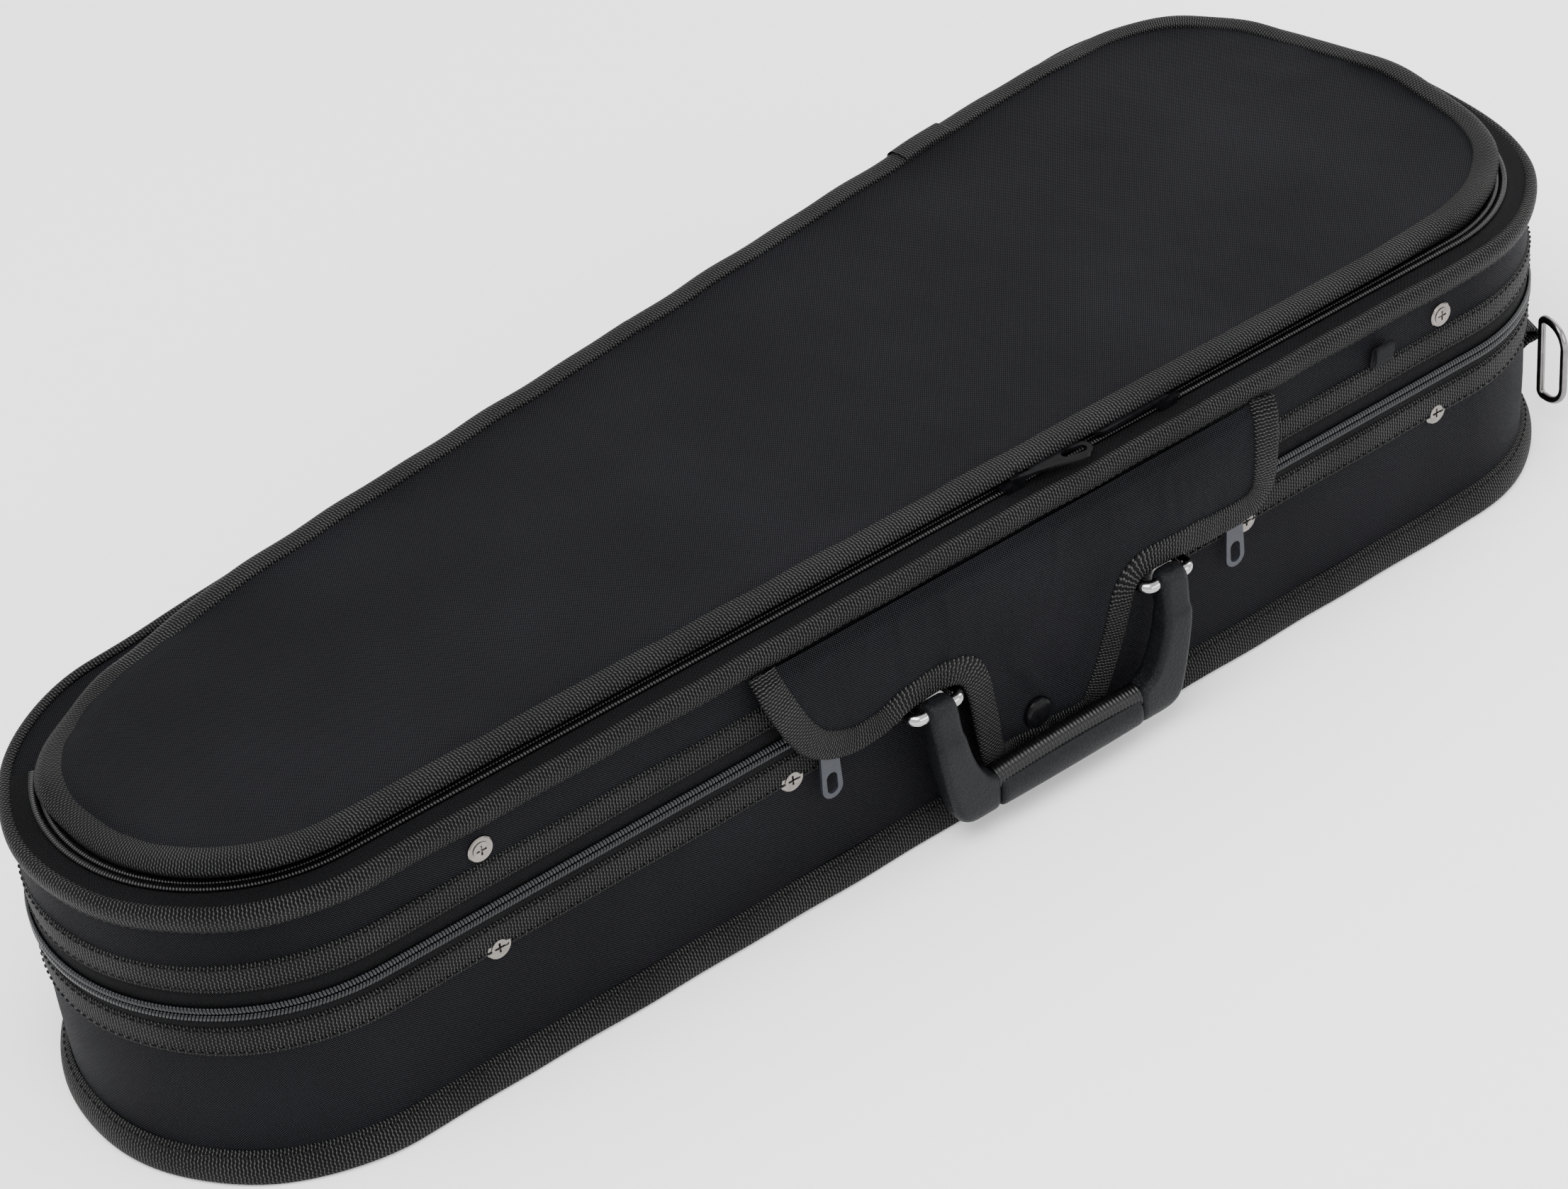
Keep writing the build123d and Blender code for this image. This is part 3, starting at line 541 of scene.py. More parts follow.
def grained_material(name, colour):
    """Moulded plastic with a leather grain, a little polished by use."""
    nodes = Nodes(name, Specular_IOR_Level=0.10)
    warp = nodes.add("ShaderNodeTexNoise")
    warp.inputs["Scale"].default_value = 500
    nodes.link(nodes.position(), warp.inputs["Vector"])
    mixed = nodes.add("ShaderNodeMix", data_type="VECTOR")
    mixed.inputs["Factor"].default_value = 0.0025
    nodes.link(nodes.position(), mixed.inputs[4])
    nodes.link(warp.outputs["Color"], mixed.inputs[5])
    cells = nodes.add("ShaderNodeTexVoronoi", feature="DISTANCE_TO_EDGE")
    cells.inputs["Scale"].default_value = 700
    nodes.link(mixed.outputs[1], cells.inputs["Vector"])
    pebble = nodes.math("MINIMUM", nodes.math("MULTIPLY", cells.outputs["Distance"], 4.0), 1.0)
    wear = nodes.noise(40, 3)
    tone = nodes.plus((0.55, pebble), (0.45, wear))
    nodes.colour(nodes.ramp(tone, [(0.2, shade(colour, 0.55)), (0.85, shade(colour, 1.3))]))
    nodes.roughness(wear, 0.3, 0.62)
    nodes.bump(pebble, 0.12 * MM, 0.7)
    return nodes.material


def plush_material(name, colour):
    """Short plush: mottled pile with a soft nap."""
    nodes = Nodes(name, Roughness=0.95, Specular_IOR_Level=0.1, Sheen_Weight=0.25, Sheen_Roughness=0.5)
    pile = nodes.noise(1400, 3)
    nap = nodes.noise(20, 3)
    tone = nodes.plus((0.5, pile), (0.5, nap))
    nodes.colour(nodes.ramp(tone, [(0.3, shade(colour, 0.45)), (0.7, shade(colour, 1.6))]))
    nodes.bump(pile, 0.4 * MM, 0.6)
    return nodes.material


FABRIC = (0.0021, 0.0021, 0.0028)
TAPE = (0.0024, 0.0025, 0.0024)
# The woven and ribbed cloths below have painted highlights on their thread crests and painted shade between
# the threads.
cover_cloth = weave_material("cover_cloth", FABRIC)
flap_cloth = weave_material("flap_cloth", FABRIC)
tape_cloth = ribbed_material("tape_cloth", TAPE)
zip_cloth = weave_material("zip_cloth", (0.0021, 0.0021, 0.0024), 0.36 * MM)
dark_coil = coil_material("dark_coil", (0.002, 0.002, 0.0023))
blue_coil = coil_material("blue_coil", (0.003, 0.0037, 0.0048))
nickel = metal_material("nickel", (0.21, 0.195, 0.18))
chrome = metal_material("chrome", (0.42, 0.41, 0.41), 0.05, 0.16)
smoky_nickel = metal_material("smoky_nickel", (0.20, 0.19, 0.19), 0.12, 0.25)
gloss_black = gloss_material("gloss_black", (0.002, 0.002, 0.0023))
grey_paint = satin_material("grey_paint", (0.018, 0.020, 0.026), 0.3, 0.5, 0.25)
handle_plastic = grained_material("handle_plastic", (0.0048, 0.0050, 0.0062))
rib_plastic = satin_material("rib_plastic", (0.0020, 0.0020, 0.0022), 0.2, 0.4, 0.25)
shell_plastic = satin_material("shell_plastic", (0.012, 0.012, 0.012))
plush = plush_material("plush", (0.014, 0.016, 0.034))
lining_plush = plush_material("lining_plush", (0.012, 0.014, 0.030))
thread = satin_material("thread", (0.004, 0.004, 0.0045), 0.4, 0.6, 0.1)
tag_cloth = weave_material("tag_cloth", (0.006, 0.006, 0.007), 0.2 * MM, in_space=True)


# --- covers and bindings ----------------------------------------------------------------------
def ripple(size, *lengths):
    """A bend for band: the strip wanders in and out, and up and down a little."""
    def bend(along, profile):
        shifts = [(size / len(lengths), length, 1.7 * k) for k, length in enumerate(lengths)]
        wander = waves(along, *shifts)
        lift = waves(along + 0.013, *shifts) * 0.6
        return wander * np.ones(len(profile)), lift * np.ones(len(profile))
    return bend


def boxed(name, profile, closed_at, up, material, body, node, slot, bend=None):
    """A wall round the case with the plate that closes it, as one piece. closed_at is how far out
    and how high the plate is."""
    walls = band(name, rounded(profile), bend=bend)
    closing = plate(f"{name}_plate", *closed_at, up=up)
    return finish_piece(join(name, [walls, closing]), material, body, node, slot=slot)


cover_lower = boxed(
    "cover_lower", mm((0, 0.6), (0, 20), (0.5, 36), (0.3, 58), (0, 75.2), (-1.3, 75.2), (-1.3, 58)),
    (0, 0.6 * MM), False, cover_cloth, "case", "case_cover", "black_weave",
    bend=ripple(0.35 * MM, 0.19, 0.077, 0.31),
)
cover_lid = boxed(
    "cover_lid", mm((-1.3, 90), (-1.3, 76.7), (0, 76.7), (0.2, 84), (0.7, 98), (0.3, 110), (0, 118.7)),
    (0, 118.7 * MM), True, cover_cloth, "lid", "lid_cover", "black_weave",
    bend=ripple(0.4 * MM, 0.17, 0.067, 0.4),
)
base_bend = ripple(0.45 * MM, 0.09, 0.047, 0.23)
lid_bend = ripple(0.5 * MM, 0.083, 0.043, 0.29)
flat_bend = ripple(0.25 * MM, 0.11, 0.06)
for name, body, node, bend, profile in (
    ("base_tape", "case", "base_binding", base_bend, mm(
        (-7, 0.5), (-5, 0.0), (0, 0.0), (3.8, 0.3), (4.6, 3.4), (4.0, 8.2), (2.0, 11.4), (0.9, 12.9),
        (0.1, 13.2)
    )),
    ("lid_tape", "lid", "lid_binding", lid_bend, mm(
        (0.0, 110.4), (1.1, 110.5), (2.0, 111.4), (3.0, 113.2), (3.9, 116.4), (3.4, 119.4),
        (1.4, 120.7), (-0.6, 120.1), (-1.0, 119.3)
    )),
    ("lower_strip", "case", "lower_tape", flat_bend, mm(
        (0.2, 56.6), (1.2, 56.9), (1.6, 63), (1.3, 68.8), (0.5, 69.2)
    )),
    ("upper_strip", "lid", "upper_tape", flat_bend, mm(
        (0.5, 84.3), (1.3, 84.7), (1.7, 90), (1.3, 95.4), (0.4, 95.8)
    )),
):
    tape = band(name, rounded(profile), bend=bend)
    finish_piece(tape, tape_cloth, body, node, slot="ribbed_tape")


def stitch_rows(name, body, *rows, length=2.3 * MM, pitch=3.3 * MM, thick=0.42 * MM):
    """Rows of stitches on the walls. Each row is (out, z, bend): where the thread lies, in mm, and
    how it wanders."""
    ends = np.array([-0.5, -0.3, 0, 0.3, 0.5]) * length
    fat = np.array([0.05, 0.85, 1.0, 0.85, 0.05]) * thick
    turns = np.linspace(0, 2 * pi, 5, endpoint=False)
    side, lift = fat[:, None] * np.cos(turns), fat[:, None] * np.sin(turns)
    count = int(AROUND / pitch)
    middles = np.arange(count) * AROUND / count
    along = (middles[:, None, None] + ends[None, :, None]) * np.ones(len(turns))
    one_each = along.shape[:2] + (1,)
    quads, _, _ = grid_faces(len(ends), len(turns), closed_cols=True)
    starts = len(ends) * len(turns) * np.arange(count * len(rows))
    verts = []
    for out, z, bend in rows:
        more_out, more_z = bend(along[..., :1].reshape(-1, 1), np.zeros((1, 2)))
        outs = out * MM + more_out.reshape(one_each) + lift
        heights = z * MM + more_z.reshape(one_each) + side
        verts.append(place(along, outs, heights).reshape(-1, 3))
    faces = (quads[None] + starts[:, None, None]).reshape(-1, 4)
    finish_piece(mesh_object(name, np.concatenate(verts), faces), thread, body)


stitch_rows(
    "case_stitches", "case", (2.1, 11.5, base_bend), (1.5, 58.2, flat_bend), (1.5, 67.6, flat_bend)
)
stitch_rows(
    "lid_stitches", "lid", (2.0, 111.6, lid_bend), (1.5, 86.0, flat_bend), (1.5, 94.3, flat_bend)
)


# --- zips -------------------------------------------------------------------------------------
MAIN_END = 3.0 * MM
POCKET_END = 24.0 * MM
COIL_PITCH = 1.22 * MM
MAIN_COIL = (2.8 * MM, 1.8 * MM)
POCKET_COIL = (2.9 * MM, 1.9 * MM)


def in_front(inset):
    """A test for arc lengths: is the outline there at least this far in front of the back wall."""
    return lambda along: depth_behind(along) >= inset


def still(along, profile):
    return 0.0 * along, 0.0 * along


def coil_band(name, out, z, size, end, material, body, node, up_the_wall=False, bend=still,
              shift=0.0, lean=0.0):
    """One half of a zip's coil: rounded loops in a row. out and z are the middle of its foot, in mm,
    and size is how wide and high it is. lean slants each loop along the zip."""
    wide, high = size
    pitch = COIL_PITCH
    count = int(AROUND / pitch)
    middles = (np.arange(count) + shift) * AROUND / count
    middles = middles[in_front(end)(middles)]
    turns = np.linspace(0, 2 * pi, 10, endpoint=False)
    half = 0.40 * pitch
    sides = np.array([-1, -0.75, 0, 0.75, 1]) * half
    sizes = np.array([0.55, 0.9, 1.0, 0.9, 0.55])
    across = wide / 2 * np.cos(turns)
    lift = high / 2 * (1 + np.sin(turns) * sizes[:, None])
    along = middles[:, None, None] + sides[:, None] + lean * np.cos(turns)[None, :]
    more_out, more_z = bend(middles[:, None], np.zeros((1, 2)))
    more_out, more_z = more_out.reshape(-1, 1, 1), more_z.reshape(-1, 1, 1)
    across = across * (0.75 + 0.25 * sizes[:, None])
    outs = out * MM + more_out + (lift if up_the_wall else across)
    heights = z * MM + more_z + (across if up_the_wall else lift)
    verts = place(along, *np.broadcast_arrays(outs, heights)).reshape(-1, 3)
    quads, _, _ = grid_faces(len(sides), len(turns), closed_cols=True)
    starts = len(sides) * len(turns) * np.arange(len(middles))
    faces = (quads[None] + starts[:, None, None]).reshape(-1, 4)
    if up_the_wall:
        faces = faces[:, ::-1]
    finish_piece(mesh_object(name, verts, faces), material, body, node, slot="coil")


def zip_tape(name, body, profile, keep, bend=None):
    """The cloth edge of one half of a zip."""
    finish_piece(band(name, profile, bend=bend, keep=keep), zip_cloth, body, slot="coil")


in_main = in_front(MAIN_END)
zip_tape("zip_tape_lower", "case", mm((0.4, 68.8), (1.0, 70), (1.0, 75.2), (0.2, 75.4)), in_main)
zip_tape("zip_tape_upper", "lid", mm((0.2, 76.5), (1.0, 76.7), (1.0, 83), (0.4, 84.8)), in_main)
coil_band(
    "zip_coil_lower", 0.8, 74.45, MAIN_COIL, MAIN_END, blue_coil, "case", "main_zip_lower",
    up_the_wall=True, lean=0.35 * MM,
)
coil_band(
    "zip_coil_upper", 0.8, 77.45, MAIN_COIL, MAIN_END, blue_coil, "lid", "main_zip_upper",
    up_the_wall=True, shift=0.5, lean=-0.35 * MM,
)
hinge_strip = band(
    "hinge_strip",
    mm((0.5, 68.8), (0.8, 70.5), (0.9, 72.5), (0.6, 74.5), (0.3, 75.95), (0.6, 77.4), (0.9, 79.5),
       (0.8, 82.5), (0.5, 84.8)),
    keep=lambda along: ~in_main(along),
)
finish_piece(hinge_strip, cover_cloth, None, "hinge_cloth", slot="black_weave")
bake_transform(hinge_strip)

# --- music pocket -----------------------------------------------------------------------------
rim_stations = np.array([0, 180, 215, 246, 275, 295, 320, 345, 370, 400, 435, 470, 500, 700, 900,
                         945, 970, 1000, 1020, 1070, 1107, 1155, 1190, 1225, 1255, 1285, 1310,
                         1340, 1540]) * MM
rim_inset = np.array([6, 6, 8, 12, 13.5, 13, 9, 11, 13.5, 9.5, 7, 7, 8, 8.5, 8,
                      9, 12, 12, 10, 8, 7, 9, 8.5, 8, 8, 7, 5.6, 5.4, 6]) * MM
rim_height = np.array([2, 2, 1, -1, -1.5, -1.5, 1.5, 0.5, -1.5, 0.5, 2.2, 0.8, 0, -0.5, 0,
                       0, 0, 0, 0.7, 1.8, 4.0, 0.8, 1, 1.6, 0.4, 0.8, 2.2, 2, 2]) * MM
smoothing = np.linspace(-0.018, 0.018, 13)


def rim(along):
    """How far in the pocket panel's bound edge stands at an arc length, and how much higher."""
    near = [np.mod(along + step, AROUND) for step in smoothing]
    return [
        np.mean([np.interp(at, rim_stations, values) for at in near], 0)
        for values in (rim_inset, rim_height)
    ]


def edging_bend(along, profile):
    """Carries the edging's profile to the rim. Its foot stays inside the zip's coil."""
    inset, height = rim(along)
    wander = waves(along, (0.16 * MM, 0.061, 0.4), (0.14 * MM, 0.037, 2.0))
    share = np.clip((profile[:, 1] - 120 * MM) / (5 * MM), 0, 1)
    foot = np.maximum(inset, 13.2 * MM)
    out = -(foot * (1 - share) + inset * share) + wander * share
    return out, (height + 0.6 * wander) * share


def coil_kink(along, profile):
    """The pocket's zip rides up over the wide front corner."""
    rise = 3.2 * MM * np.exp(-(((along - 1.088) / 0.030) ** 2))
    return -0.3 * rise, rise


in_pocket = in_front(POCKET_END)
zip_tape(
    "pocket_tape_outer", "lid", mm((-0.4, 119.6), (-3, 119.3), (-5, 119.2), (-7.6, 119.7)), in_pocket,
    bend=coil_kink,
)
coil_band(
    "pocket_coil_outer", -8.65, 119.6, POCKET_COIL, POCKET_END, dark_coil, "lid", "pocket_zip_outer",
    bend=coil_kink,
)
zip_tape(
    "pocket_tape_inner", "pocket_panel", mm((-12.9, 119.6), (-14, 119.5), (-17, 119.6)), in_pocket,
    bend=coil_kink,
)
coil_band(
    "pocket_coil_inner", -11.75, 119.6, POCKET_COIL, POCKET_END, dark_coil, "pocket_panel",
    "pocket_zip_inner", bend=coil_kink, shift=0.5,
)
edging_profile = rounded(
    mm((-0.8, 119.6), (-0.6, 120.4), (-0.2, 122.4), (0.1, 124.6), (-0.6, 126.9), (-2.4, 128.3),
       (-5.2, 128.8), (-8.4, 128.5), (-9.9, 128.2), (-10.2, 127.4), (-10.1, 126.6))
)
edging = band("panel_tape", edging_profile, bend=edging_bend, step=2.2 * MM)


def cut_sheet(name, polygon, spacing):
    """A flat sheet in the XY plane that fills a polygon with a square grid, its edge drawn onto the
    polygon. Its texture corners are its places. Returns it and which vertices are on its edge."""
    low, high = polygon.min(0), polygon.max(0)
    columns = np.arange(low[0], high[0] + spacing, spacing)
    rows = np.arange(low[1], high[1] + spacing, spacing)
    grid_x, grid_y = np.meshgrid(columns, rows, indexing="ij")
    nodes_at = np.stack([grid_x.ravel(), grid_y.ravel()], 1)
    faces, _, _ = grid_faces(len(columns), len(rows))
    middles = nodes_at[faces].mean(1)
    after = np.roll(polygon, -1, 0)
    crossings = np.zeros(len(middles), dtype=int)
    for (x1, y1), (x2, y2) in zip(polygon, after):
        spans = (y1 > middles[:, 1]) != (y2 > middles[:, 1])
        if y1 != y2:
            crossings += spans & (middles[:, 0] < (x2 - x1) * (middles[:, 1] - y1) / (y2 - y1) + x1)
    faces = faces[crossings % 2 == 1]
    used, faces = np.unique(faces, return_inverse=True)
    faces = faces.reshape(-1, 4)
    flat = nodes_at[used]
    edges = np.sort(np.stack([faces, np.roll(faces, -1, 1)], -1).reshape(-1, 2), 1)
    lines, counts = np.unique(edges, axis=0, return_counts=True)
    on_edge = np.zeros(len(flat), dtype=bool)
    on_edge[lines[counts == 1].ravel()] = True
    run = after - polygon
    for index in np.flatnonzero(on_edge):
        offset = flat[index] - polygon
        share = np.clip((offset * run).sum(1) / (run * run).sum(1), 0, 1)
        nearest = polygon + share[:, None] * run
        flat[index] = nearest[np.argmin(((nearest - flat[index]) ** 2).sum(1))]
    verts = np.column_stack([flat, np.zeros(len(flat))])
    return mesh_object(name, verts, faces, flat[faces]), on_edge


panel_lengths = np.linspace(0, AROUND, 400, endpoint=False)
panel_inset, panel_rise = rim(panel_lengths)
panel_outline = place(panel_lengths, -(panel_inset + 6.0 * MM), 0)[:, :2]
panel_top, panel_edge = cut_sheet("panel_top", panel_outline, 5 * MM)
panel_xy = positions(panel_top)[:, :2]
gaps = np.linalg.norm(panel_xy[:, None] - panel_outline[None, ::2], axis=2)
nearest_rim = panel_rise[::2][gaps.argmin(1)]
falloff = np.exp(-((gaps.min(1) / 0.03) ** 1.5))
panel_z = 127.6 * MM + nearest_rim * falloff
panel_z += waves(panel_xy[:, 0], (0.5 * MM, 0.27, 0.3)) * (1 - falloff)
set_positions(panel_top, np.column_stack([panel_xy, panel_z]))
support_z = 125.8 * MM + 1.2 * MM * np.cos(np.clip(panel_xy[:, 1] / 0.09, -1, 1) * pi / 2)
filling = mesh_object("pocket_filling", np.column_stack([panel_xy, support_z]), faces_of(panel_top))
simulate(
    panel_top, 24, 8 * MM, pinned=panel_edge, gravity=0.8, slack=0.0012, stiff=8.0, bending=12.0,
    supports=[filling],
)
bpy.data.objects.remove(filling)
subdivide(panel_top)
finish_piece(panel_top, cover_cloth, None, "pocket_panel", slot="black_weave")
finish_piece(edging, tape_cloth, None, "panel_edging", slot="ribbed_tape")
for piece in (panel_top, edging):
    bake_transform(piece)

# --- handle flap ------------------------------------------------------------------------------
FLAP_TOP = 110.4 * MM
SNAP = (270.4 * MM, 31.3 * MM)
flap_corners = mm(
    (151.8, 110.4), (152.4, 103.6), (155.4, 95.2), (160.9, 82), (166.9, 73.2), (172.5, 68.5), (180, 64.5),
    (186, 62.6), (194, 62.6), (201, 63), (206, 65.4), (211, 67.9), (218, 68.6), (230, 68.5),
    (235.6, 66.4), (238.4, 60), (240, 50.5), (241, 42.8), (242, 34), (243.4, 24), (247, 16),
    (270, 14.5), (296, 16), (301, 22), (305, 31), (308.6, 40), (311.6, 49), (313.6, 57), (315.2, 64),
    (319.5, 68.2), (330, 68.6), (342.5, 68.4), (350, 66.8), (360, 66.2), (368, 66.3), (374.6, 67.8),
    (380.6, 73), (383, 79), (384.2, 90), (385.6, 99), (387.6, 110.4)
)
flap_hang = np.array(
    mm((4.0, 8), (4.1, 30), (4.3, 44), (5.2, 58), (5.5, 69), (6.2, 75), (7.6, 82), (8.1, 89), (7.5, 97),
       (5.6, 104), (2.9, 110.4))
)


def flap_bump(s, z):
    """The flap's folds: creases across its tongue, and slack between its seams."""
    across = (s - SNAP[0]) / MM
    drop = (FLAP_TOP - z) / MM
    tongue = np.clip((drop - 30) / 25, 0, 1) * np.exp(-((across / 26) ** 4))
    creases = waves(s * 0.75 + z * 0.66, (0.7 * MM, 0.0165, 0.6), (0.35 * MM, 0.0098, 2.1)) * tongue
    wings = np.clip(drop / 22, 0, 1) * (1 - tongue)
    slack = waves(s * 0.96 + z * 0.28, (0.5 * MM, 0.057, 1.0), (0.25 * MM, 0.031, 0.2)) * wings
    return creases + slack


def hang(z):
    """How far out from the wall the flap hangs at a height."""
    return np.interp(z, flap_hang[:, 1], flap_hang[:, 0])


def on_wall(s, out, z):
    """wall() for arrays."""
    foot = np.array([*front_start, 0.0])
    rise = z[:, None] * [0, 0, 1]
    return foot + s[:, None] * np.array(wall_along) + out[:, None] * np.array(wall_out) + rise


flap_path = rounded(flap_corners)
flap, _ = cut_sheet("flap_cloth", flap_path, 2.6 * MM)
flap_s, flap_z = positions(flap)[:, 0], positions(flap)[:, 1]
flap_out = hang(flap_z) + flap_bump(flap_s, flap_z)
set_positions(flap, on_wall(flap_s, flap_out, flap_z))
sewn = flap_z > FLAP_TOP - 2 * MM
snapped = np.hypot(flap_s - SNAP[0], flap_z - SNAP[1]) < 5 * MM
behind_flap = on_wall(flap_s, hang(flap_z) - 1.3 * MM, flap_z)
wall_form = mesh_object("wall_form", behind_flap, faces_of(flap))
simulate(
    flap, 22, 3.5 * MM, pinned=sewn | snapped, gravity=1.0, slack=0.008, stiff=10.0, bending=1.5,
    supports=[wall_form],
)
bpy.data.objects.remove(wall_form)
subdivide(flap)


class Laid:
    """Finds where the places of a flat sheet went when it was shaped, from its texture corners."""

    def __init__(self, piece):
        mesh = piece.data
        mesh.calc_loop_triangles()
        uvs = np.empty(len(mesh.loops) * 2)
        mesh.uv_layers[0].data.foreach_get("uv", uvs)
        loops = np.empty(len(mesh.loops), dtype=int)
        mesh.loops.foreach_get("vertex_index", loops)
        flat = np.zeros((len(mesh.vertices), 3))
        flat[loops, :2] = uvs.reshape(-1, 2)
        normals = np.empty(len(mesh.vertices) * 3)
        mesh.vertices.foreach_get("normal", normals)
        self.flat = [Vector(v) for v in flat]
        self.shaped = [Vector(v) for v in positions(piece)]
        self.normals = [Vector(v) for v in normals.reshape(-1, 3)]
        corners = np.array([tuple(triangle.vertices) for triangle in mesh.loop_triangles])
        one, two = (flat[corners[:, k]] - flat[corners[:, 0]] for k in (1, 2))
        sound = abs(one[:, 0] * two[:, 1] - one[:, 1] * two[:, 0]) > 0.02 * MM * MM
        self.triangles = corners[sound].tolist()
        self.tree = BVHTree.FromPolygons(self.flat, self.triangles)

    def at(self, x, y, lift):
        """Where the flat place (x, y) went, raised along the sheet's normal. Off the sheet's edge
        the wall's own directions carry on."""
        place_at = Vector((x, y, 0))
        point, _, index, _ = self.tree.find_nearest(place_at)
        corners = self.triangles[index]
        past = place_at - point
        flat = [self.flat[c] for c in corners]
        shaped = barycentric_transform(point, *flat, *[self.shaped[c] for c in corners])
        normal = barycentric_transform(point, *flat, *[self.normals[c] for c in corners])
        return shaped + wall_along * past.x + Vector((0, 0, past.y)) + normal.normalized() * lift


def edge_tape(name, laid, path, profile):
    """A tape folded round a sheet's edge. path is the edge on the flat sheet, and profile has pairs:
    how far in from the edge, and how far off the sheet."""
    steps = walked(path)
    along = np.linspace(0, steps[-1], int(steps[-1] / (1.6 * MM)))
    spots = np.stack([np.interp(along, steps, path[:, k]) for k in (0, 1)], 1)
    runs_on = np.gradient(spots, axis=0)
    padded = np.pad(runs_on, ((2, 2), (0, 0)), "edge")
    runs_on = np.stack([np.convolve(padded[:, k], np.ones(5) / 5, "valid") for k in (0, 1)], 1)
    runs_on /= np.linalg.norm(runs_on, axis=1, keepdims=True)
    inward = np.stack([-runs_on[:, 1], runs_on[:, 0]], 1)
    verts = []
    for spot, side in zip(spots, inward):
        for depth, lift in profile:
            verts.append(laid.at(*(spot + side * depth), lift))
    across = walked(profile)
    faces, i, j = grid_faces(len(along), len(profile))
    return mesh_object(name, [tuple(v) for v in verts], faces, grid_uvs(along, across, i, j))


flap_laid = Laid(flap)
tape_profile = mm(
    (10.4, 0.15), (10.0, 0.75), (7.5, 1.0), (4.0, 1.15), (1.2, 1.15), (-0.3, 0.85), (-0.9, 0.1),
    (-0.3, -0.7), (1.2, -0.9), (5.0, -0.8)
)
flap_binding = edge_tape("flap_tape_edge", flap_laid, flap_path, tape_profile)
finish_piece(flap, flap_cloth, "flap", "flap", slot="black_weave")
finish_piece(flap_binding, tape_cloth, "flap", "flap_tape", slot="ribbed_tape")


# --- handle -----------------------------------------------------------------------------------
HANDLE_S = 275.9 * MM
GRIP_HALF = 34 * MM
GRIP_RIBS = 44
arm_shape = np.array(mm(
    # z, outer edge, inner edge, back, front (from the handle's middle, and out from the wall)
    (67.6, 56.5, 50.4, 9.6, 12.4), (67.2, 58.2, 48.8, 8.0, 14.0), (66.0, 59.2, 47.9, 6.9, 15.3),
    (63.0, 59.7, 47.3, 6.5, 16.0), (58.0, 59.6, 47.1, 7.0, 16.5), (54.0, 59.3, 46.9, 7.7, 17.0),
    (51.4, 59.0, 46.7, 8.1, 17.4), (50.6, 59.6, 46.2, 8.1, 18.1), (46.0, 59.1, 45.5, 8.2, 18.4),
    (40.0, 58.2, 44.1, 8.2, 18.5), (34.0, 57.1, 41.9, 8.2, 18.5), (30.0, 56.4, 39.7, 8.2, 18.5),
    (27.6, 55.9, 37.9, 8.2, 18.5), (26.2, 55.6, 36.2, 8.2, 18.5), (25.4, 55.4, 34.2, 8.2, 18.5),
    (24.0, 55.0, 33.2, 8.2, 18.5), (20.0, 54.1, 33.0, 8.2, 18.5), (16.0, 53.0, 33.0, 8.2, 18.4),
    (13.2, 51.3, 33.0, 8.4, 18.0), (11.2, 48.9, 33.0, 9.0, 17.2),
    (9.8, 45.2, 33.2, 10.2, 16.0), (9.3, 42.0, 34.0, 11.8, 14.4)
))


def rounded_section(low_a, high_a, low_n, high_n, radius):
    """Points of a rounded rectangle, in order round it."""
    radius = min(radius, (high_a - low_a) / 2.01, (high_n - low_n) / 2.01)
    points = []
    centres = [(high_a - radius, high_n - radius), (low_a + radius, high_n - radius),
               (low_a + radius, low_n + radius), (high_a - radius, low_n + radius)]
    for quarter, (ca, cn) in enumerate(centres):
        for angle in np.linspace(quarter * pi / 2, (quarter + 1) * pi / 2, 7):
            points.append((ca + radius * cos(angle), cn + radius * sin(angle)))
    return points


def loft(name, rings):
    """A closed form through rings of equally many points."""
    count = len(rings[0])
    verts = [point for ring in rings for point in ring]
    faces, _, _ = grid_faces(len(rings), count, closed_cols=True)
    faces = [list(face) for face in faces]
    faces.append(list(range(count))[::-1])
    faces.append(list(range(len(verts) - count, len(verts))))
    piece = mesh_object(name, [tuple(v) for v in verts], faces)
    mesh = bmesh.new()
    mesh.from_mesh(piece.data)
    bmesh.ops.recalc_face_normals(mesh, faces=mesh.faces)
    mesh.to_mesh(piece.data)
    mesh.free()
    return piece


def handle_arm(side):
    levels = []
    for z, outer, inner, back, front in arm_shape:
        section = rounded_section(inner, outer, back, front, 3.0 * MM)
        levels.append([wall(HANDLE_S + side * a, n, z) for a, n in section])
    return subdivide(loft("arm", levels))


def grip_body():
    """The grip's grained lower moulding: crowned outside, its upper edge a little arched."""
    section = rounded(mm(
        (8.6, 21.6), (8.2, 18), (8.2, 13), (9.2, 10), (12.2, 9.3), (15.6, 9.6), (18.2, 11.6), (19.0, 15.5),
        (18.7, 19.0), (17.4, 21.6)
    ))
    rings = []
    for a in np.linspace(-GRIP_HALF, GRIP_HALF, 24):
        arch = 1 - (a / GRIP_HALF) ** 2
        ring = []
        for n, z in section:
            up = (z - 9.3 * MM) / (12.3 * MM)
            crown = 0.5 * MM * arch if n > 12 * MM else 0.0
            ring.append(wall(HANDLE_S + a, n + crown, z + 1.1 * MM * arch * up))
        rings.append(ring)
    return subdivide(loft("grip_body", rings))


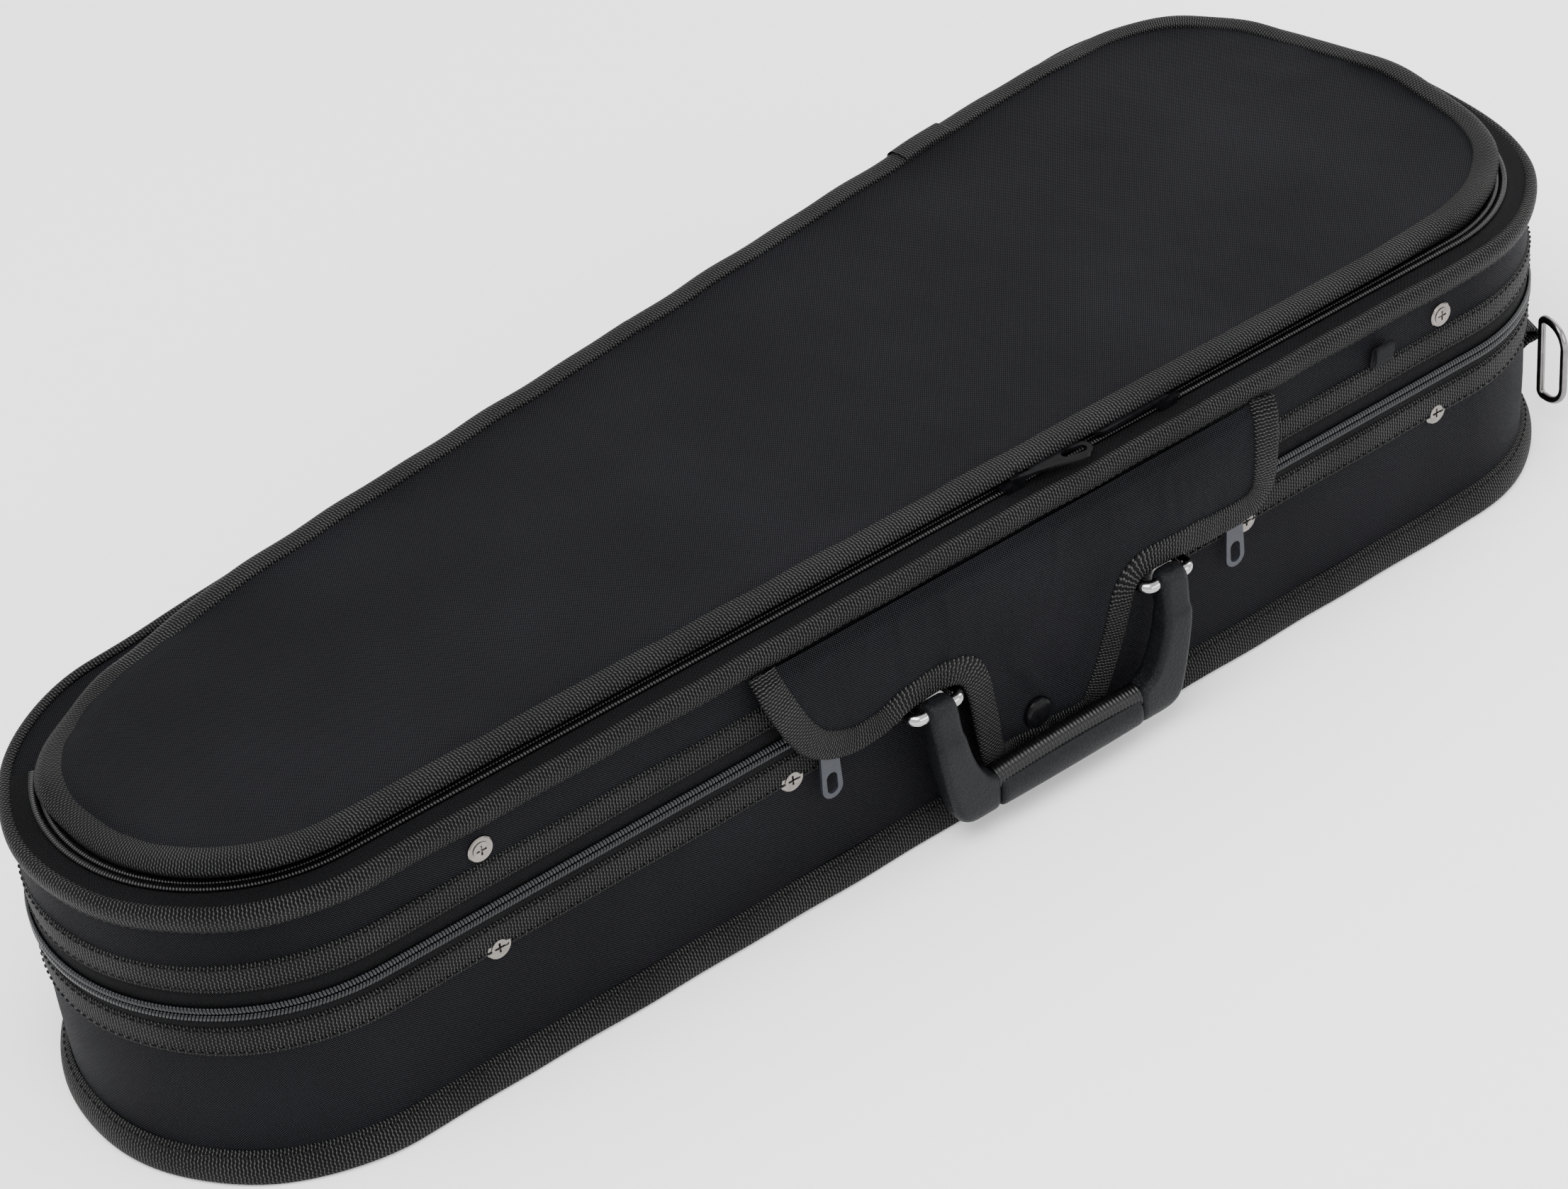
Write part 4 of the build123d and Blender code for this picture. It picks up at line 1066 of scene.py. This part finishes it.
def grip_strip():
    """The grip's ribbed half-round top."""
    steps = 6  # along each rib
    rings = []
    for step in range(GRIP_RIBS * steps + 1):
        a = (step / (GRIP_RIBS * steps) * 2 - 1) * GRIP_HALF
        arch = 1 - (a / GRIP_HALF) ** 2
        groove = 0.42 * MM * (0.5 + 0.5 * cos(2 * pi * step / steps)) ** 2
        radius = 4.7 * MM - groove
        middle_out, middle_z = 12.9 * MM, 21.4 * MM + arch * 0.9 * MM
        rings.append([
            wall(HANDLE_S + a, middle_out + radius * 0.98 * cos(angle), middle_z + radius * sin(angle))
            for angle in np.linspace(0, 2 * pi, 28, endpoint=False)
        ])
    return loft("grip_ribs", rings)


handle_mould = join("handle_moulding", [handle_arm(1), handle_arm(-1), grip_body()])
finish_piece(handle_mould, handle_plastic, "handle", "handle_body", slot="moulded_plastic")
finish_piece(grip_strip(), rib_plastic, "handle", slot="moulded_plastic")


# --- small fittings ---------------------------------------------------------------------------
def dress(node, material, bevel):
    """Gives a CAD node a material, and softens its edges."""
    for holder in node.material_slots:
        holder.material = material
    if bevel:
        modifier = node.modifiers.new("edge", "BEVEL")
        modifier.width = bevel
        modifier.segments = 3
        modifier.limit_method = "ANGLE"
        modifier.angle_limit = radians(40)


for material, bevel, names in (
    (nickel, 0.15 * MM, ("case_cups", "case_screws", "lid_cups", "lid_screws")),
    (chrome, 0.0, ("handle_staples",)),
    (smoky_nickel, 0.3 * MM, ("staple_plates",)),
    (smoky_nickel, 0.0, ("d_ring_wide", "d_ring_narrow")),
    (gloss_black, 0.5 * MM, ("snap_cap", "snap_stud")),
    (gloss_black, 0.4 * MM, ("main_slider_left", "main_slider_right")),
    (gloss_black, 0.45 * MM, ("pocket_slider_left", "pocket_slider_right")),
    (gloss_black, 0.4 * MM, ("pocket_pull_left", "pocket_pull_right")),
    (grey_paint, 0.4 * MM, ("main_pull_left", "main_pull_right")),
    (shell_plastic, 0.0, ("case_shell", "lid_shell")),
    (gloss_black, 0.6 * MM, ("spinner_post_a", "spinner_post_b", "bow_spinner_a", "bow_spinner_b")),
):
    for name in names:
        dress(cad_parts[name], material, bevel)


def strap(name, along, path, width, thick, material, body, node):
    """A flat strap whose middle follows a path of (out, z) at one place on the outline."""
    path = rounded(path)
    foot, ahead = place(np.array([along, along + MM]), 0, 0)
    run = (ahead - foot) / np.linalg.norm(ahead - foot)
    out = np.array([-run[1], run[0], 0]) * -1
    across = np.linspace(-width / 2, width / 2, 7)
    steps = walked(path)
    verts = [foot + run * a + out * o + np.array([0, 0, z]) for o, z in path for a in across]
    faces, i, j = grid_faces(len(path), len(across))
    piece = mesh_object(name, verts, faces, grid_uvs(steps, across, i, j))
    modifier = piece.modifiers.new("thick", "SOLIDIFY")
    modifier.thickness = thick
    modifier.offset = 0
    apply_modifiers(piece)
    return finish_piece(piece, material, body, node)


ring_path = mm(
    (0.8, 46), (1.5, 42), (3.5, 37), (7.0, 33.9), (9.2, 33.6), (11.6, 32.6), (11.8, 29.4), (9.2, 28.4),
    (7.0, 28.1), (3.5, 25), (1.5, 20), (0.8, 16)
)
RING_AT = {"wide": 1052.3 * MM, "narrow": 277.6 * MM}
for side, along in RING_AT.items():
    strap(f"ring_strap_{side}", along, ring_path, 19 * MM, 1.2 * MM, tape_cloth, "case", f"ring_tab_{side}")
TAG_AT = FRONT_AT + 442.6 * MM
tag_path = mm((1.2, 94.6), (1.4, 98), (2.2, 103), (3.8, 105.4), (5.0, 104.2), (4.6, 100), (3.4, 96.2))
strap("size_label", TAG_AT, tag_path, 9 * MM, 0.35 * MM, tag_cloth, "lid", "size_tag")

END_COVER_AT = AROUND - hypot(back_start[0] - back_middle[0], back_start[1] - back_middle[1]) + 89 * MM
sleeve_profile = edging_profile[2:] + [0, 0.6 * MM]
sleeve_profile[sleeve_profile[:, 0] > -4 * MM, 0] += 0.7 * MM
sleeve = band(
    "binding_end", sleeve_profile, bend=edging_bend, step=1.3 * MM,
    keep=lambda along: abs(along - END_COVER_AT) < 12.5 * MM,
)
finish_piece(sleeve, tape_cloth, None, "binding_end_cover", slot="ribbed_tape")
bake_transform(sleeve)

# --- inside -----------------------------------------------------------------------------------
case_plush = boxed(
    "case_plush", mm((-6.2, 75.4), (-7.4, 75.0), (-7.5, 60), (-7.4, 12), (-8.0, 8.0), (-12, 7.0)),
    (-12 * MM, 7.0 * MM), True, lining_plush, "case", "case_lining", "plush",
)
lid_plush = boxed(
    "lid_plush", mm((-12, 112.2), (-8.0, 111.4), (-7.4, 108), (-7.5, 90), (-7.4, 77.2), (-6.2, 76.6)),
    (-12 * MM, 112.2 * MM), False, lining_plush, "lid", "lid_lining", "plush",
)
padded_copy("bed_foam", "violin_bed", "case")
padded_copy("cradle_foam", "neck_cradle", "case", voxel=3 * MM)
padded_copy(
    "box_lid_pad", "accessory_lid", "accessory_lid", voxel=1.6 * MM, start_in=0.2 * MM, cap=0.8 * MM,
)


def soft_copy(name, node, body, material, bevel):
    """A fabric-covered board or strap that stands for a CAD node: its shape with round edges."""
    piece = cad_copy(name, node)
    modifier = piece.modifiers.new("edge", "BEVEL")
    modifier.width = bevel
    modifier.segments = 4
    modifier.limit_method = "ANGLE"
    apply_modifiers(piece)
    return finish_piece(piece, material, body, node, slot="plush")


soft_copy("neck_strap_band", "neck_strap", "case", plush, 0.5 * MM)
soft_copy("box_wall", "accessory_wall", "case", plush, 1.2 * MM)
soft_copy("box_lid_tab", "accessory_tab", "accessory_lid", tag_cloth, 0.2 * MM)
soft_copy("tip_holders", "bow_tip_holders", "lid", plush, 1.0 * MM)


rounds = np.linspace(0, AROUND, 600, endpoint=False)
cover_outline = place(rounds, 0, 0)[:, :2]
lining_outline = place(rounds, -7.5 * MM, 0)[:, :2]
hinge_length = float((~in_main(rounds)).mean() * AROUND)


# --- light, floor and camera ------------------------------------------------------------------
def area_light(name, at, size, power, target=(0, 0, 0.06)):
    light = bpy.data.lights.new(name, "AREA")
    light.shape = "RECTANGLE"
    light.size, light.size_y = size
    light.energy = power
    lamp = bpy.data.objects.new(name, light)
    lamp.location = at
    lamp.rotation_euler = (Vector(target) - Vector(at)).to_track_quat("-Z", "Y").to_euler()
    bpy.context.scene.collection.objects.link(lamp)


floor_paint = Nodes("floor", Roughness=0.8, Specular_IOR_Level=0.2)
paint_stops = [(0.3, (0.94, 0.94, 0.94)), (0.7, (0.95, 0.95, 0.95))]
floor_paint.colour(floor_paint.ramp(floor_paint.noise(3), paint_stops))
floor = mesh_object("floor", [(-6, -6, 0), (6, -6, 0), (6, 6, 0), (-6, 6, 0)], [(0, 1, 2, 3)])
floor.data.materials.append(floor_paint.material)
area_light("key", (-0.9, -0.4, 1.9), (1.6, 1.2), 60)
area_light("front", (0.4, -1.9, 0.9), (2.4, 1.0), 34)
area_light("side", (1.9, 0.1, 1.1), (1.5, 1.0), 30)

world = bpy.data.worlds.new("studio")
world.use_nodes = True
world.node_tree.nodes["Background"].inputs[0].default_value = (1, 1, 1, 1)
world.node_tree.nodes["Background"].inputs[1].default_value = 1.6
bpy.context.scene.world = world

# The camera looks along this azimuth and down by this much, a little rolled.
VIEW_AZIMUTH, VIEW_DOWN, VIEW_ROLL = radians(52.52), radians(37.25), radians(-6.56)
VIEW_FROM = (-0.7455, -0.9377, 0.9624)
camera_data = bpy.data.cameras.new("camera")
camera_data.lens = 94.35
camera_data.sensor_width = 36
camera_data.shift_x = 0.0227
camera_data.shift_y = -0.0062
camera = bpy.data.objects.new("camera", camera_data)
level = Vector((cos(VIEW_AZIMUTH), sin(VIEW_AZIMUTH), 0))
forward = level * cos(VIEW_DOWN) + Vector((0, 0, -sin(VIEW_DOWN)))
right = forward.cross(Vector((0, 0, 1))).normalized()
up = right.cross(forward)
rolled_right = right * cos(VIEW_ROLL) + up * sin(VIEW_ROLL)
rolled_up = up * cos(VIEW_ROLL) - right * sin(VIEW_ROLL)
turned = Matrix((rolled_right, rolled_up, -forward)).transposed().to_4x4()
camera.matrix_world = Matrix.Translation(VIEW_FROM) @ turned
bpy.context.scene.collection.objects.link(camera)
bpy.context.scene.camera = camera
